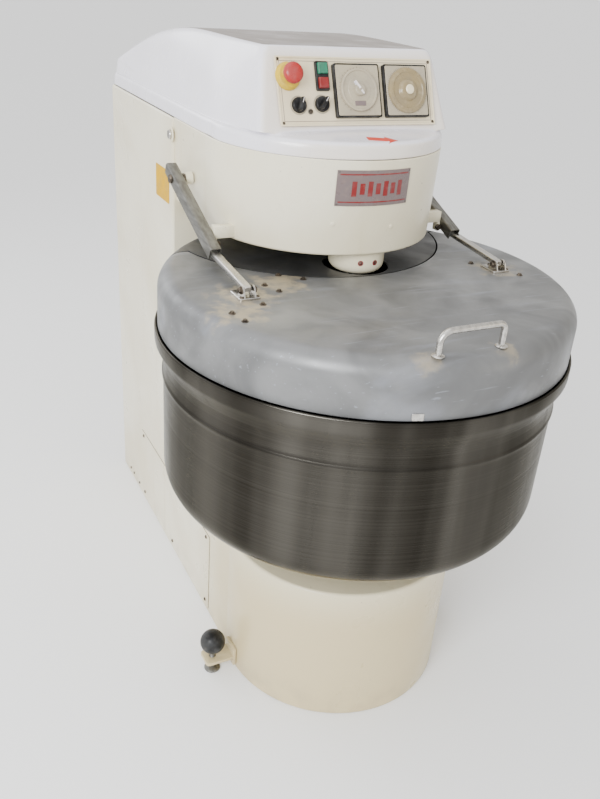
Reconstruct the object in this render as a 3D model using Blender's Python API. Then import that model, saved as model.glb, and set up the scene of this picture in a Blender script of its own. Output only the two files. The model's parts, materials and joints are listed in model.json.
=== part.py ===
"""Floor-standing spiral dough mixer, built as an assembly of separate pieces.

Metres, +Z up.  The origin is on the floor, on the axis of the bowl.
-Y is the operator's side, +Y runs back to the column, and +X is the operator's right.
"""
from math import acos, atan2, cos, hypot, pi, radians, sin, sqrt

import bmesh
import bpy
from mathutils import Matrix, Vector

# ---------------------------------------------------------------- driving dimensions
GAP = 0.0003                  # clearance between two pieces that rest on each other
SHEET = 0.004                 # wall of the painted sheet-steel casings
SEGMENTS = 40                 # sides of a large turned piece
MEDIUM_SEGMENTS = 20          # sides of a shaft, motor or dial
SMALL_SEGMENTS = 14           # sides of a small turned piece

# bowl
RIM_RADIUS = 0.450
WALL_RADIUS = 0.432
RIM_TOP = 0.904
RIM_BAND = 0.030
CREASE_Z = 0.838
BEAD_Z = 0.7945
BEAD_RISE = 0.0025
CORNER_RADIUS = 0.085
CORNER_Z = 0.580
DISH_RADIUS = 0.200
DISH_Z = 0.430
BOWL_SHEET = 0.004

# base and column
BASE_RADIUS = 0.278
BASE_TOP = 0.371
COLUMN_HALF = 0.271
COLUMN_FRONT = 0.485
COLUMN_REAR = 1.018
SEAM_Z = 1.258
PANEL_FRONT_Y = 0.190
PANEL_REAR_Y = 0.790
PANEL_TOP_Z = 0.256
PANEL_BOTTOM_Z = 0.014
REAR_OPENING_HALF = 0.215
REAR_OPENING_BOTTOM = 0.120
REAR_OPENING_TOP = 1.150
LOUVRE_ROWS = 6
LOUVRE_PITCH = 0.022
LOUVRE_LOW_Z = 0.300
LOUVRE_HALF = 0.120
LOUVRE_HEIGHT = 0.008
GLAND_X = -0.240
GLAND_Z = 0.080
GLAND_THREAD = 0.012
CATCH_Y = 0.495
CATCH_Z = 1.218

# head drum and its moulded cover
HEAD_CENTRE_Y = 0.253
HEAD_RADIUS_TOP = 0.2675
HEAD_RADIUS_BOTTOM = 0.2615
HEAD_BOTTOM = 1.062
BELT_OPENING_HALF = 0.215
SKIRT_TOP = 1.283
LEDGE_TOP = 1.303
BOX_FOOT_HALF = 0.262
BOX_TOP_HALF = 0.222
BOX_TOP = 1.450
BOX_FRONT_FOOT_Y = 0.083
BOX_FRONT_TOP_Y = 0.1515
BOX_REAR_BREAK_Y = 0.620
BOX_REAR_Z = 1.325

# control plate, in its own axes: u to the right, v up the slope
PLATE_WIDTH = 0.366
PLATE_HEIGHT = 0.134
PLATE_THICK = 0.002
PLATE_CENTRE_X = 0.004
PLATE_CENTRE_UP = 0.0925
TIMER_SIDE = 0.106
TIMER_DEPTH = 0.011
TIMER_U = (-0.006, 0.111)
DIAL_RADIUS = (0.042, 0.046)
ESTOP_UV = (-0.158, 0.029)
START_UV = (-0.083, 0.043)
STOP_UV = (-0.083, 0.015)
SELECTOR_UV = ((-0.140, -0.027), (-0.088, -0.025))
LAMP_UV = (-0.115, -0.040)

# lid of the bowl and its two arms
LID_RADIUS = 0.443
LID_BOTTOM = 0.906
LID_TOP = 1.018
LID_EDGE = 0.045
LID_SHEET = 0.0035
LID_REAR_Y = 0.235
CUTOUT_CENTRE_Y = 0.315
CUTOUT_RADIUS = 0.3295
REAR_COVER_GAP = 0.004
HINGE_Y = 0.360
ARM_X = 0.303
ARM_WIDTH = 0.026
ARM_HEIGHT = 0.026
ARM_WALL = 0.003
ARM_TOP = (0.400, 1.163)      # y, z of the channel's centre line at its upper end
ARM_LOW = (0.113, 1.050)
LINK_TOP = (0.140, 1.051)
LINK_LOW = (-0.062, 1.0345)
LINK_WIDTH = 0.018
LINK_HEIGHT = 0.012
PIN_RADIUS = 0.006
LUG_RADIUS = 0.014
REST_LUG_Y = (0.156, 0.176)
REST_PAD = 0.004              # how far the rest's pad reaches under the channel's wall
HANDLE_X = (-0.098, 0.038)
HANDLE_Y = -0.4065
HANDLE_RISE = 0.045
HANDLE_ROD = 0.006

# tools in the bowl
SPIRAL_Y = HEAD_CENTRE_Y
SPIRAL_RADIUS = 0.138
SPIRAL_TURNS = 1.5
SPIRAL_WIRE = 0.016
SPIRAL_TOP = 0.800
SPIRAL_BOTTOM = 0.515
BREAKER_X = 0.008
BREAKER_Y = 0.066
BREAKER_RADIUS = 0.024
BOSS_RADIUS = 0.061
BOSS_HEIGHT = 0.052

# drives
SHAFT_RADIUS = 0.030
# the flats of the faceted bore clear the corners of the faceted shaft
BEARING_BORE = (SHAFT_RADIUS + GAP) / cos(pi / MEDIUM_SEGMENTS)
DRIVE_Y = 0.760
SPIRAL_BELT_Z = 1.150
BOWL_BELT_Z = 0.150
BIG_PULLEY = 0.190
SMALL_PULLEY = 0.050
PULLEY_WIDTH = 0.044
BELT_THICK = 0.006
MOTOR_RADIUS = 0.098
MOTOR_LENGTH = 0.260

# levelling feet
FOOT_X = 0.332
FOOT_PLATE_Z = 0.034
FOOT_PLATE_THICK = 0.008
KNOB_RADIUS = 0.031
KNOB_Z = 0.088
SCREW_RADIUS = 0.008


# ---------------------------------------------------------------- small tools
def clear_scene():
    for old in list(bpy.data.objects):
        bpy.data.objects.remove(old, do_unlink=True)


def material(name, colour, roughness, metallic=0.0):
    mat = bpy.data.materials.new(name)
    mat.use_nodes = True
    shader = mat.node_tree.nodes["Principled BSDF"]
    shader.inputs["Base Color"].default_value = (*colour, 1.0)
    shader.inputs["Roughness"].default_value = roughness
    shader.inputs["Metallic"].default_value = metallic
    return mat


def add(name, bm, mat, location=(0, 0, 0), parent=None, smooth=True):
    """Make an object of a closed bmesh, with its faces turned outwards."""
    bmesh.ops.recalc_face_normals(bm, faces=bm.faces)
    mesh = bpy.data.meshes.new(name)
    bm.to_mesh(mesh)
    bm.free()
    if smooth:
        mesh.shade_smooth()
        mesh.set_sharp_from_angle(angle=radians(32))
    if mat:
        mesh.materials.append(mat)
    obj = bpy.data.objects.new(name, mesh)
    obj.location = location
    obj.parent = parent
    bpy.context.collection.objects.link(obj)
    return obj


def empty(name, location, rotation=(0, 0, 0)):
    obj = bpy.data.objects.new(name, None)
    obj.location = location
    obj.rotation_euler = rotation
    bpy.context.collection.objects.link(obj)
    return obj


def combine(target, tool, operation):
    """Join or cut the target with a tool, which is left out of the model."""
    tool.hide_render = True
    tool.display_type = "WIRE"
    step = target.modifiers.new(operation.title(), "BOOLEAN")
    step.operation = operation
    step.object = tool
    step.solver = "EXACT"


def cut(target, bm, location=(0, 0, 0), parent=None):
    count = len(target.modifiers)
    tool = add(f"{target.name}_cutter_{count}", bm, None, location, parent, smooth=False)
    combine(target, tool, "DIFFERENCE")


def join(target, bm, location=(0, 0, 0), parent=None):
    count = len(target.modifiers)
    tool = add(f"{target.name}_joined_{count}", bm, None, location, parent, smooth=False)
    combine(target, tool, "UNION")


def bevel(obj, width, segments=2, angle=35):
    step = obj.modifiers.new("Bevel", "BEVEL")
    step.width = width
    step.segments = segments
    step.limit_method = "ANGLE"
    step.angle_limit = radians(angle)


def arc(centre, radius, start, end, steps):
    """Points of an arc in the plane; the angles are in degrees."""
    points = []
    for i in range(steps + 1):
        angle = radians(start + (end - start) * i / steps)
        points.append((centre[0] + radius * cos(angle), centre[1] + radius * sin(angle)))
    return points


def box(x0, x1, y0, y1, z0, z1):
    bm = bmesh.new()
    bmesh.ops.create_cube(bm, size=1.0)
    bmesh.ops.scale(bm, vec=(x1 - x0, y1 - y0, z1 - z0), verts=bm.verts)
    bmesh.ops.translate(bm, vec=((x0 + x1) / 2, (y0 + y1) / 2, (z0 + z1) / 2), verts=bm.verts)
    return bm


def loft(levels):
    """A closed solid through outlines of equal length; a level is (outline, z)."""
    bm = bmesh.new()
    rings = [[bm.verts.new((x, y, z)) for x, y in outline] for outline, z in levels]
    for low, high in zip(rings, rings[1:]):
        for i in range(len(low)):
            j = (i + 1) % len(low)
            bm.faces.new((low[i], low[j], high[j], high[i]))
    bm.faces.new(rings[0])
    bm.faces.new(rings[-1])
    return bm


def prism(outline, z0, z1):
    return loft([(outline, z0), (outline, z1)])


def ring_prism(outer, inner, z0, z1):
    """A closed band between two outlines of equal length."""
    bm = bmesh.new()
    loops = []
    for outline, z in ((outer, z0), (outer, z1), (inner, z1), (inner, z0)):
        loops.append([bm.verts.new((x, y, z)) for x, y in outline])
    loops.append(loops[0])
    for low, high in zip(loops, loops[1:]):
        for i in range(len(low)):
            j = (i + 1) % len(low)
            bm.faces.new((low[i], low[j], high[j], high[i]))
    return bm


def lathe(profile, segments=SMALL_SEGMENTS):
    """Turn a closed profile of (radius, z) about Z; a radius of 0 makes a pole."""
    bm = bmesh.new()
    rings = []
    for radius, z in profile:
        if radius == 0:
            rings.append([bm.verts.new((0, 0, z))])
            continue
        ring = []
        for i in range(segments):
            angle = 2 * pi * i / segments
            ring.append(bm.verts.new((radius * cos(angle), radius * sin(angle), z)))
        rings.append(ring)
    for low, high in zip(rings, rings[1:] + rings[:1]):
        if len(low) == 1 and len(high) == 1:
            continue
        for i in range(segments):
            j = (i + 1) % segments
            if len(low) == 1:
                bm.faces.new((low[0], high[j], high[i]))
            elif len(high) == 1:
                bm.faces.new((low[i], low[j], high[0]))
            else:
                bm.faces.new((low[i], low[j], high[j], high[i]))
    return bm


def disc(radius, z0, z1, segments=SMALL_SEGMENTS):
    return prism(arc((0, 0), radius, 0, 360 * (segments - 1) / segments, segments - 1), z0, z1)


def turned(bm, matrix):
    bmesh.ops.transform(bm, matrix=matrix, verts=bm.verts)
    return bm


def along_x(bm, x, y, z):
    """Turn a piece made along Z so that it lies along X, and place it."""
    return turned(bm, Matrix.Translation((x, y, z)) @ Matrix.Rotation(pi / 2, 4, "Y"))


def tube(path, radius, sides):
    """A round bar along a list of points, with flat ends."""
    bm = bmesh.new()
    rings = []
    across = Vector((0, 1, 0))
    for i, point in enumerate(path):
        before = path[max(i - 1, 0)]
        after = path[min(i + 1, len(path) - 1)]
        along = (after - before).normalized()
        across = (across - along * across.dot(along)).normalized()
        other = along.cross(across)
        ring = []
        for k in range(sides):
            angle = 2 * pi * k / sides
            offset = (across * cos(angle) + other * sin(angle)) * radius
            ring.append(bm.verts.new(point + offset))
        rings.append(ring)
    for low, high in zip(rings, rings[1:]):
        for k in range(sides):
            j = (k + 1) % sides
            bm.faces.new((low[k], low[j], high[j], high[k]))
    bm.faces.new(rings[0])
    bm.faces.new(rings[-1])
    return bm


def slanted_bar(start, end, x, width, height):
    """A bar in a plane of constant x, between two (y, z) points on its centre line."""
    length = hypot(end[0] - start[0], end[1] - start[1])
    slope = atan2(end[1] - start[1], end[0] - start[0])
    bm = box(-width / 2, width / 2, 0, length, -height / 2, height / 2)
    return turned(bm, Matrix.Translation((x, *start)) @ Matrix.Rotation(slope, 4, "X"))


def u_plan(half, centre_y, radius, rear, steps=20):
    """Plan of a casing: straight sides from the rear, with a round nose."""
    sides = [(half, rear), (-half, rear)]
    bulge = acos(min(1.0, half / radius)) * 180 / pi
    nose = arc((0, centre_y), radius, 180 - bulge, 360 + bulge, steps)
    return sides + nose


# ---------------------------------------------------------------- materials
def make_materials():
    return {
        "cream": material("cream paint", (0.80, 0.78, 0.68), 0.40),
        "white": material("white moulding", (0.86, 0.87, 0.90), 0.25),
        "stainless": material("stainless bowl", (0.42, 0.40, 0.38), 0.32, 1.0),
        "dull": material("dull aluminium", (0.50, 0.53, 0.58), 0.50, 0.8),
        "chrome": material("bright steel", (0.75, 0.75, 0.75), 0.18, 1.0),
        "steel": material("plain steel", (0.35, 0.35, 0.36), 0.45, 1.0),
        "iron": material("cast iron", (0.12, 0.12, 0.13), 0.60, 0.6),
        "black": material("black plastic", (0.02, 0.02, 0.02), 0.35),
        "rubber": material("black rubber", (0.03, 0.03, 0.03), 0.80),
        "red": material("red plastic", (0.75, 0.06, 0.03), 0.30),
        "green": material("green plastic", (0.03, 0.33, 0.18), 0.35),
        "yellow": material("yellow plastic", (0.80, 0.62, 0.03), 0.35),
        "grey": material("grey plastic", (0.55, 0.55, 0.52), 0.40),
        "clear": material("lamp lens", (0.85, 0.85, 0.80), 0.15),
        "mauve": material("badge face", (0.45, 0.38, 0.42), 0.40),
        "blue": material("motor paint", (0.10, 0.16, 0.25), 0.50),
    }


# ---------------------------------------------------------------- base and column
def body_plan(inset):
    """Plan of the base; an inset of the sheet's thickness gives its inside."""
    return u_plan(COLUMN_HALF - inset, 0.0, BASE_RADIUS - inset, COLUMN_REAR - inset, 28)


def stepped_body(name, inset, low, high, mat):
    """The base's plan carried up to the seam, with the bowl's space cut out of it."""
    body = add(name, prism(body_plan(inset), low, high), mat)
    cut(body, box(-0.5, 0.5, -0.5, COLUMN_FRONT + inset, BASE_TOP - inset, SEAM_Z + 0.1))
    return body


def make_body(mats):
    shell = stepped_body("body_shell", 0, 0, SEAM_Z, mats["cream"])
    inside = stepped_body("body_inside", SHEET, -0.01, SEAM_Z + 0.01, None)
    combine(shell, inside, "DIFFERENCE")
    cut(shell, disc(SHAFT_RADIUS + 0.030, BASE_TOP - 0.02, BASE_TOP + 0.01))
    cut(shell, box(-BELT_OPENING_HALF, BELT_OPENING_HALF, COLUMN_FRONT - 0.01,
                   COLUMN_FRONT + 0.01, HEAD_BOTTOM + 0.03, SEAM_Z - 0.02))
    cut(shell, box(-REAR_OPENING_HALF, REAR_OPENING_HALF, COLUMN_REAR - 0.01,
                   COLUMN_REAR + 0.01, REAR_OPENING_BOTTOM, REAR_OPENING_TOP))
    lip = 0.012
    for side in (-1, 1):
        edge = sorted((side * (COLUMN_HALF - 0.01), side * (COLUMN_HALF + 0.01)))
        cut(shell, box(*edge, PANEL_FRONT_Y + lip, PANEL_REAR_Y - lip,
                       PANEL_BOTTOM_Z + lip, PANEL_TOP_Z - lip))

    inside = body_plan(SHEET + GAP)
    add("base_plate", prism(inside, 0, 0.008), mats["steel"], smooth=False)


def make_access_panels(mats):
    thick = 0.0015
    for side, name in ((-1, "side_panel_left"), (1, "side_panel_right")):
        face = side * (COLUMN_HALF + GAP)
        edge = sorted((face, face + side * thick))
        panel = box(*edge, PANEL_FRONT_Y, PANEL_REAR_Y, PANEL_BOTTOM_Z, PANEL_TOP_Z)
        add(name, panel, mats["cream"], smooth=False)

    lip = 0.015
    face = COLUMN_REAR + GAP
    rear = add("rear_panel", box(-REAR_OPENING_HALF - lip, REAR_OPENING_HALF + lip, face,
                                 face + 0.002, REAR_OPENING_BOTTOM - lip,
                                 REAR_OPENING_TOP + lip), mats["cream"], smooth=False)
    for row in range(LOUVRE_ROWS):
        z = LOUVRE_LOW_Z + LOUVRE_PITCH * row
        cut(rear, box(-LOUVRE_HALF, LOUVRE_HALF, face - 0.01, face + 0.01,
                      z, z + LOUVRE_HEIGHT))


def make_cable_gland(mats):
    """Entry for the mains lead, low on the left of the rear wall."""
    place = (GLAND_X, COLUMN_REAR, GLAND_Z)
    bore, nut, sleeve = 0.008, 0.020, 0.014
    profile = [(bore, -0.010), (GLAND_THREAD, -0.010), (GLAND_THREAD, GAP), (nut, GAP),
               (nut, 0.010), (sleeve, 0.012), (sleeve, 0.028), (bore, 0.030)]
    gland = add("cable_gland", lathe(profile), mats["black"], place)
    gland.rotation_euler = (-pi / 2, 0, 0)
    hole = turned(disc(GLAND_THREAD + 0.0005, -0.02, 0.02), Matrix.Rotation(pi / 2, 4, "X"))
    cut(bpy.data.objects["body_shell"], hole, place)


# ---------------------------------------------------------------- head
def head_plan(radius, rear):
    return u_plan(radius, HEAD_CENTRE_Y, radius, rear, 28)


def make_head(mats):
    rear = COLUMN_FRONT - GAP
    levels = [(head_plan(HEAD_RADIUS_BOTTOM, rear), HEAD_BOTTOM),
              (head_plan(HEAD_RADIUS_TOP, rear), SEAM_Z)]
    head = add("head_shell", loft(levels), mats["cream"])
    inner = [(head_plan(HEAD_RADIUS_BOTTOM - SHEET, rear - SHEET), HEAD_BOTTOM + SHEET),
             (head_plan(HEAD_RADIUS_TOP - SHEET, rear - SHEET), SEAM_Z + 0.01)]
    cut(head, loft(inner))
    cut(head, box(-BELT_OPENING_HALF, BELT_OPENING_HALF, rear - 0.01, rear + 0.01,
                  HEAD_BOTTOM + 0.03, SEAM_Z - 0.02))
    cut(head, disc(SHAFT_RADIUS + 0.016, HEAD_BOTTOM - 0.01, HEAD_BOTTOM + 0.01),
        (0, SPIRAL_Y, 0))


def clip(bm, point, normal):
    """Keep the part of a solid behind a plane, and close the cut."""
    geom = bm.verts[:] + bm.edges[:] + bm.faces[:]
    result = bmesh.ops.bisect_plane(bm, geom=geom, plane_co=point, plane_no=normal,
                                    clear_outer=True)
    edges = [item for item in result["geom_cut"] if isinstance(item, bmesh.types.BMEdge)]
    bmesh.ops.contextual_create(bm, geom=edges)


def panel_slope():
    """Angle of the cover's front face from the horizontal."""
    return atan2(BOX_TOP - SKIRT_TOP, BOX_FRONT_TOP_Y - BOX_FRONT_FOOT_Y)


def cover_box(inset, foot_z):
    """Upper part of the cover: it narrows upwards, with a sloping front and rear."""
    narrowing = (BOX_FOOT_HALF - BOX_TOP_HALF) / (BOX_TOP - SKIRT_TOP)
    rear = COLUMN_REAR - inset
    foot = BOX_FOOT_HALF - inset + narrowing * (SKIRT_TOP - foot_z)
    bm = loft([(head_plan(foot, rear), foot_z),
               (head_plan(BOX_TOP_HALF - inset, rear), BOX_TOP - inset)])
    slope = panel_slope()
    front = Vector((0, -sin(slope), cos(slope)))
    clip(bm, Vector((0, BOX_FRONT_FOOT_Y, SKIRT_TOP)) - front * inset, front)
    fall = atan2(BOX_TOP - BOX_REAR_Z, COLUMN_REAR - BOX_REAR_BREAK_Y)
    back = Vector((0, sin(fall), cos(fall)))
    clip(bm, Vector((0, BOX_REAR_BREAK_Y, BOX_TOP)) - back * inset, back)
    return bm


def make_cover(mats):
    """One moulded shell: a round-nosed skirt, a sloping ledge and the box above them."""
    foot = SEAM_Z + GAP
    step = 0.010
    rear = COLUMN_REAR
    skirt = [(head_plan(HEAD_RADIUS_TOP, rear), foot),
             (head_plan(HEAD_RADIUS_TOP, rear), SKIRT_TOP - step),
             (head_plan(HEAD_RADIUS_TOP - step * 0.6, rear), SKIRT_TOP),
             (head_plan(HEAD_RADIUS_TOP - 0.085, rear), LEDGE_TOP)]
    cover = add("head_cover", loft(skirt), mats["white"])
    join(cover, cover_box(0.0, SKIRT_TOP - 0.012))
    hollow = [(head_plan(HEAD_RADIUS_TOP - SHEET, rear - SHEET), foot - 0.01),
              (head_plan(HEAD_RADIUS_TOP - SHEET, rear - SHEET), SKIRT_TOP - step - SHEET * 0.4),
              (head_plan(HEAD_RADIUS_TOP - 0.090, rear - SHEET), LEDGE_TOP - SHEET * 1.3)]
    cut(cover, loft(hollow))
    cut(cover, cover_box(SHEET, SKIRT_TOP - 0.008))
    return cover


def make_catch(mats):
    """Quarter-turn catch that holds the head's casing, on the left of the column."""
    place = (-(COLUMN_HALF + GAP), CATCH_Y, CATCH_Z)
    catch = add("casing_catch", along_x(disc(0.011, -0.007, 0), 0, 0, 0), mats["steel"], place)
    cut(catch, box(-0.02, -0.005, -0.0015, 0.0015, -0.008, 0.008), place)


# ---------------------------------------------------------------- control panel
def make_plate_axes():
    """Empty at the plate's centre: its X and Y lie in the slope, its Z points out."""
    slope = panel_slope()
    centre = (PLATE_CENTRE_X,
              BOX_FRONT_FOOT_Y + cos(slope) * PLATE_CENTRE_UP,
              SKIRT_TOP + sin(slope) * PLATE_CENTRE_UP)
    return empty("plate_axes", centre, (slope, 0, 0))


def make_control_panel(mats, cover):
    axes = make_plate_axes()
    cut(cover, box(-PLATE_WIDTH / 2 + 0.008, PLATE_WIDTH / 2 - 0.008, -PLATE_HEIGHT / 2 + 0.008,
                   PLATE_HEIGHT / 2 - 0.008, -0.02, 0.01), parent=axes)
    face = GAP + PLATE_THICK
    plate = add("control_plate", box(-PLATE_WIDTH / 2, PLATE_WIDTH / 2, -PLATE_HEIGHT / 2,
                                     PLATE_HEIGHT / 2, GAP, face), mats["white"],
                parent=axes, smooth=False)

    for u, radius, name, dial in zip(TIMER_U, DIAL_RADIUS, ("timer_left", "timer_right"),
                                     ("timer_dial_left", "timer_dial_right")):
        half = TIMER_SIDE / 2
        low = face + GAP
        body = add(name, box(-half, half, -half, half, low, low + TIMER_DEPTH), mats["grey"],
                   (u, 0, 0), axes)
        cut(body, disc(0.0065, -0.01, 0.03), (u, 0, 0), axes)
        front = low + TIMER_DEPTH + GAP
        profile = [(0, low + 0.001), (0.006, low + 0.001), (0.006, front), (radius, front),
                   (radius, front + 0.004), (radius - 0.003, front + 0.006),
                   (0.014, front + 0.006), (0.012, front + 0.014), (0, front + 0.014)]
        add(dial, lathe(profile, MEDIUM_SEGMENTS), mats["grey"], (u, 0, 0), axes)

    make_stop_button(mats, plate, axes, face)
    make_push_buttons(mats, plate, axes, face)
    make_selectors(mats, plate, axes, face)

    u, v = LAMP_UV
    cut(plate, disc(0.0035, -0.01, 0.01, 10), (u, v, 0), axes)
    lamp = [(0, -0.006), (0.003, -0.006), (0.003, face + GAP), (0.0055, face + GAP),
            (0.0050, face + 0.003), (0, face + 0.005)]
    add("pilot_lamp", lathe(lamp, 10), mats["clear"], (u, v, 0), axes)


def make_stop_button(mats, plate, axes, face):
    """Yellow collar and red mushroom of the emergency stop."""
    u, v = ESTOP_UV
    low = face + GAP
    collar_hole = 0.0125
    cut(plate, disc(collar_hole, -0.01, 0.01, MEDIUM_SEGMENTS), (u, v, 0), axes)
    collar = [(collar_hole - GAP, low), (0.0275, low), (0.0255, low + 0.012),
              (collar_hole - GAP, low + 0.014)]
    add("emergency_collar", lathe(collar, MEDIUM_SEGMENTS), mats["yellow"], (u, v, 0), axes)
    stem = collar_hole - 4 * GAP
    cap = low + 0.022
    mushroom = [(0, -0.020), (stem, -0.020), (stem, cap), (0.0195, cap), (0.0205, cap + 0.006),
                (0.0190, cap + 0.011), (0.0120, cap + 0.0145), (0, cap + 0.0155)]
    add("emergency_button", lathe(mushroom, MEDIUM_SEGMENTS), mats["red"], (u, v, 0), axes)


def make_push_buttons(mats, plate, axes, face):
    """Black frame with the green start key above the red stop key."""
    key = 0.0105
    frame_half = 0.0145
    frame_top = face + GAP + 0.006
    u = START_UV[0]
    middle = (START_UV[1] + STOP_UV[1]) / 2
    reach = (START_UV[1] - STOP_UV[1]) / 2 + frame_half
    block = add("key_frame", box(-frame_half, frame_half, -reach, reach, face + GAP, frame_top),
                mats["black"], (u, middle, 0), axes, smooth=False)
    for v, name, mat in ((START_UV[1], "start_key", "green"), (STOP_UV[1], "stop_key", "red")):
        hole = key + 2 * GAP
        cut(plate, box(-hole, hole, -hole, hole, -0.01, 0.01), (u, v, 0), axes)
        cut(block, box(-hole, hole, -hole, hole, -0.01, 0.03), (u, v, 0), axes)
        button = add(name, box(-key, key, -key, key, -0.010, frame_top + 0.006), mats[mat],
                     (u, v, 0), axes)
        bevel(button, 0.001, 1)


def make_selectors(mats, plate, axes, face):
    """Two black rotary switches, each with a grip bar across its knob."""
    for (u, v), name in zip(SELECTOR_UV, ("selector_left", "selector_right")):
        cut(plate, disc(0.0055, -0.01, 0.01), (u, v, 0), axes)
        low = face + GAP
        profile = [(0, -0.012), (0.005, -0.012), (0.005, low), (0.0155, low),
                   (0.0150, low + 0.006), (0.0115, low + 0.008), (0, low + 0.008)]
        knob = add(name, lathe(profile, SMALL_SEGMENTS), mats["black"], (u, v, 0), axes)
        join(knob, box(-0.0035, 0.0035, -0.0135, 0.0135, low + 0.004, low + 0.020),
             (u, v, 0), axes)


def make_badge(mats):
    """Thin curved plate on the nose of the drum."""
    low, high = 1.168, 1.240
    half_width, centre_x, steps = 0.0855, -0.011, 8
    taper = (HEAD_RADIUS_TOP - HEAD_RADIUS_BOTTOM) / (SEAM_Z - HEAD_BOTTOM)
    levels = []
    for z in (low, high):
        radius = HEAD_RADIUS_BOTTOM + taper * (z - HEAD_BOTTOM) + 0.0006
        start = -90 + (centre_x - half_width) / radius * 180 / pi
        end = -90 + (centre_x + half_width) / radius * 180 / pi
        front = arc((0, HEAD_CENTRE_Y), radius + 0.0015, start, end, steps)
        back = arc((0, HEAD_CENTRE_Y), radius, end, start, steps)
        levels.append((front + back, z))
    add("badge_plate", loft(levels), mats["mauve"], smooth=False)


# ---------------------------------------------------------------- bowl
def bowl_profile(inset):
    """Half section of the bowl, from the rim down to the middle of its floor."""
    wall = WALL_RADIUS - inset
    dish = DISH_Z + inset
    corner = CORNER_RADIUS - inset
    slope = atan2(CORNER_Z - CORNER_RADIUS - DISH_Z + 0.020, WALL_RADIUS - DISH_RADIUS) * 180 / pi
    points = [(wall, BEAD_Z - 0.010), (wall, CORNER_Z)]
    points += arc((wall - corner, CORNER_Z), corner, 0, -90 + slope, 5)[1:]
    points += [(DISH_RADIUS, dish), (0, dish)]
    return points


def make_bowl(mats):
    rim = [(WALL_RADIUS - BOWL_SHEET, BEAD_Z), (WALL_RADIUS - BOWL_SHEET, CREASE_Z),
           (RIM_RADIUS - BOWL_SHEET, RIM_TOP - RIM_BAND), (RIM_RADIUS - BOWL_SHEET, RIM_TOP),
           (RIM_RADIUS, RIM_TOP), (RIM_RADIUS, RIM_TOP - RIM_BAND), (WALL_RADIUS, CREASE_Z),
           (WALL_RADIUS, BEAD_Z + 0.006), (WALL_RADIUS + BEAD_RISE, BEAD_Z)]
    outside = bowl_profile(0)
    inside = bowl_profile(BOWL_SHEET)[::-1]
    add("bowl", lathe(outside + inside + rim, SEGMENTS), mats["stainless"])

    flange = 0.150
    top = DISH_Z - GAP
    shaft = [(0, BOWL_BELT_Z - 0.040), (SHAFT_RADIUS, BOWL_BELT_Z - 0.040),
             (SHAFT_RADIUS, top - 0.030), (flange * 0.6, top - 0.014), (flange, top - 0.012),
             (flange, top), (0, top)]
    add("bowl_shaft", lathe(shaft, MEDIUM_SEGMENTS), mats["steel"])

    deck = BASE_TOP - SHEET - GAP
    bearing = [(BEARING_BORE, deck - 0.130), (0.052, deck - 0.130), (0.056, deck - 0.018),
               (0.110, deck - 0.016), (0.110, deck), (BEARING_BORE, deck)]
    add("bowl_bearing", lathe(bearing, MEDIUM_SEGMENTS), mats["iron"])


# ---------------------------------------------------------------- tools in the bowl
def make_breaker(mats):
    """Fixed bar in the middle of the bowl, held by a white boss under the head."""
    top = HEAD_BOTTOM - GAP
    bore = BREAKER_RADIUS + GAP
    place = (BREAKER_X, BREAKER_Y, 0)
    boss = [(bore, top - BOSS_HEIGHT), (BOSS_RADIUS - 0.004, top - BOSS_HEIGHT),
            (BOSS_RADIUS, top - BOSS_HEIGHT + 0.004), (BOSS_RADIUS, top), (bore, top)]
    add("breaker_boss", lathe(boss, MEDIUM_SEGMENTS), mats["white"], place)
    bar = [(0, 0.470), (0.017, 0.470), (0.022, 0.480), (BREAKER_RADIUS, 0.700),
           (BREAKER_RADIUS, top - 0.002), (0, top - 0.002)]
    add("breaker_bar", lathe(bar, SMALL_SEGMENTS), mats["chrome"], place)


def spiral_path():
    """Centre line of the hook: out from the hub, down a helix, and in at the foot."""
    steps = 32
    entry, foot = 0.25, 0.72
    points = []
    for i in range(steps + 1):
        part = i / steps
        angle = 2 * pi * SPIRAL_TURNS * part
        radius = SPIRAL_RADIUS * sin(min(1.0, part / entry) * pi / 2)
        if part > foot:
            radius *= cos((part - foot) / (1 - foot) * radians(63))
        z = SPIRAL_TOP + (SPIRAL_BOTTOM - SPIRAL_TOP) * part
        points.append(Vector((radius * cos(angle), radius * sin(angle), z)))
    return points


def make_spiral(mats):
    """Hook of round bar, forged on to a hub that the spiral shaft drives."""
    hub_top = 0.900
    hub = [(0, SPIRAL_TOP - 0.035), (0.030, SPIRAL_TOP - 0.030), (0.036, SPIRAL_TOP),
           (0.036, hub_top - 0.012), (0.052, hub_top - 0.010), (0.052, hub_top), (0, hub_top)]
    hook = add("spiral_hook", lathe(hub, MEDIUM_SEGMENTS), mats["chrome"], (0, SPIRAL_Y, 0))
    join(hook, tube(spiral_path(), SPIRAL_WIRE, 8), (0, SPIRAL_Y, 0))

    low = hub_top + GAP
    shaft = [(0, low), (0.052, low), (0.052, low + 0.012), (SHAFT_RADIUS, low + 0.016),
             (SHAFT_RADIUS, SPIRAL_BELT_Z + 0.045), (0, SPIRAL_BELT_Z + 0.045)]
    add("spiral_shaft", lathe(shaft, MEDIUM_SEGMENTS), mats["steel"], (0, SPIRAL_Y, 0))

    floor = HEAD_BOTTOM + SHEET + GAP
    bearing = [(BEARING_BORE, floor), (0.090, floor), (0.090, floor + 0.012),
               (0.050, floor + 0.016), (0.050, floor + 0.050), (BEARING_BORE, floor + 0.050)]
    add("spiral_bearing", lathe(bearing, MEDIUM_SEGMENTS), mats["iron"], (0, SPIRAL_Y, 0))


# ---------------------------------------------------------------- drives
def pulley(radius, bore, width, segments):
    """Belt pulley with two flanges, centred on z = 0."""
    half = width / 2
    rim = radius + 0.006
    return lathe([(bore, -half), (rim, -half), (radius, -half + 0.005), (radius, half - 0.005),
                  (rim, half), (bore, half)], segments)


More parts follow.
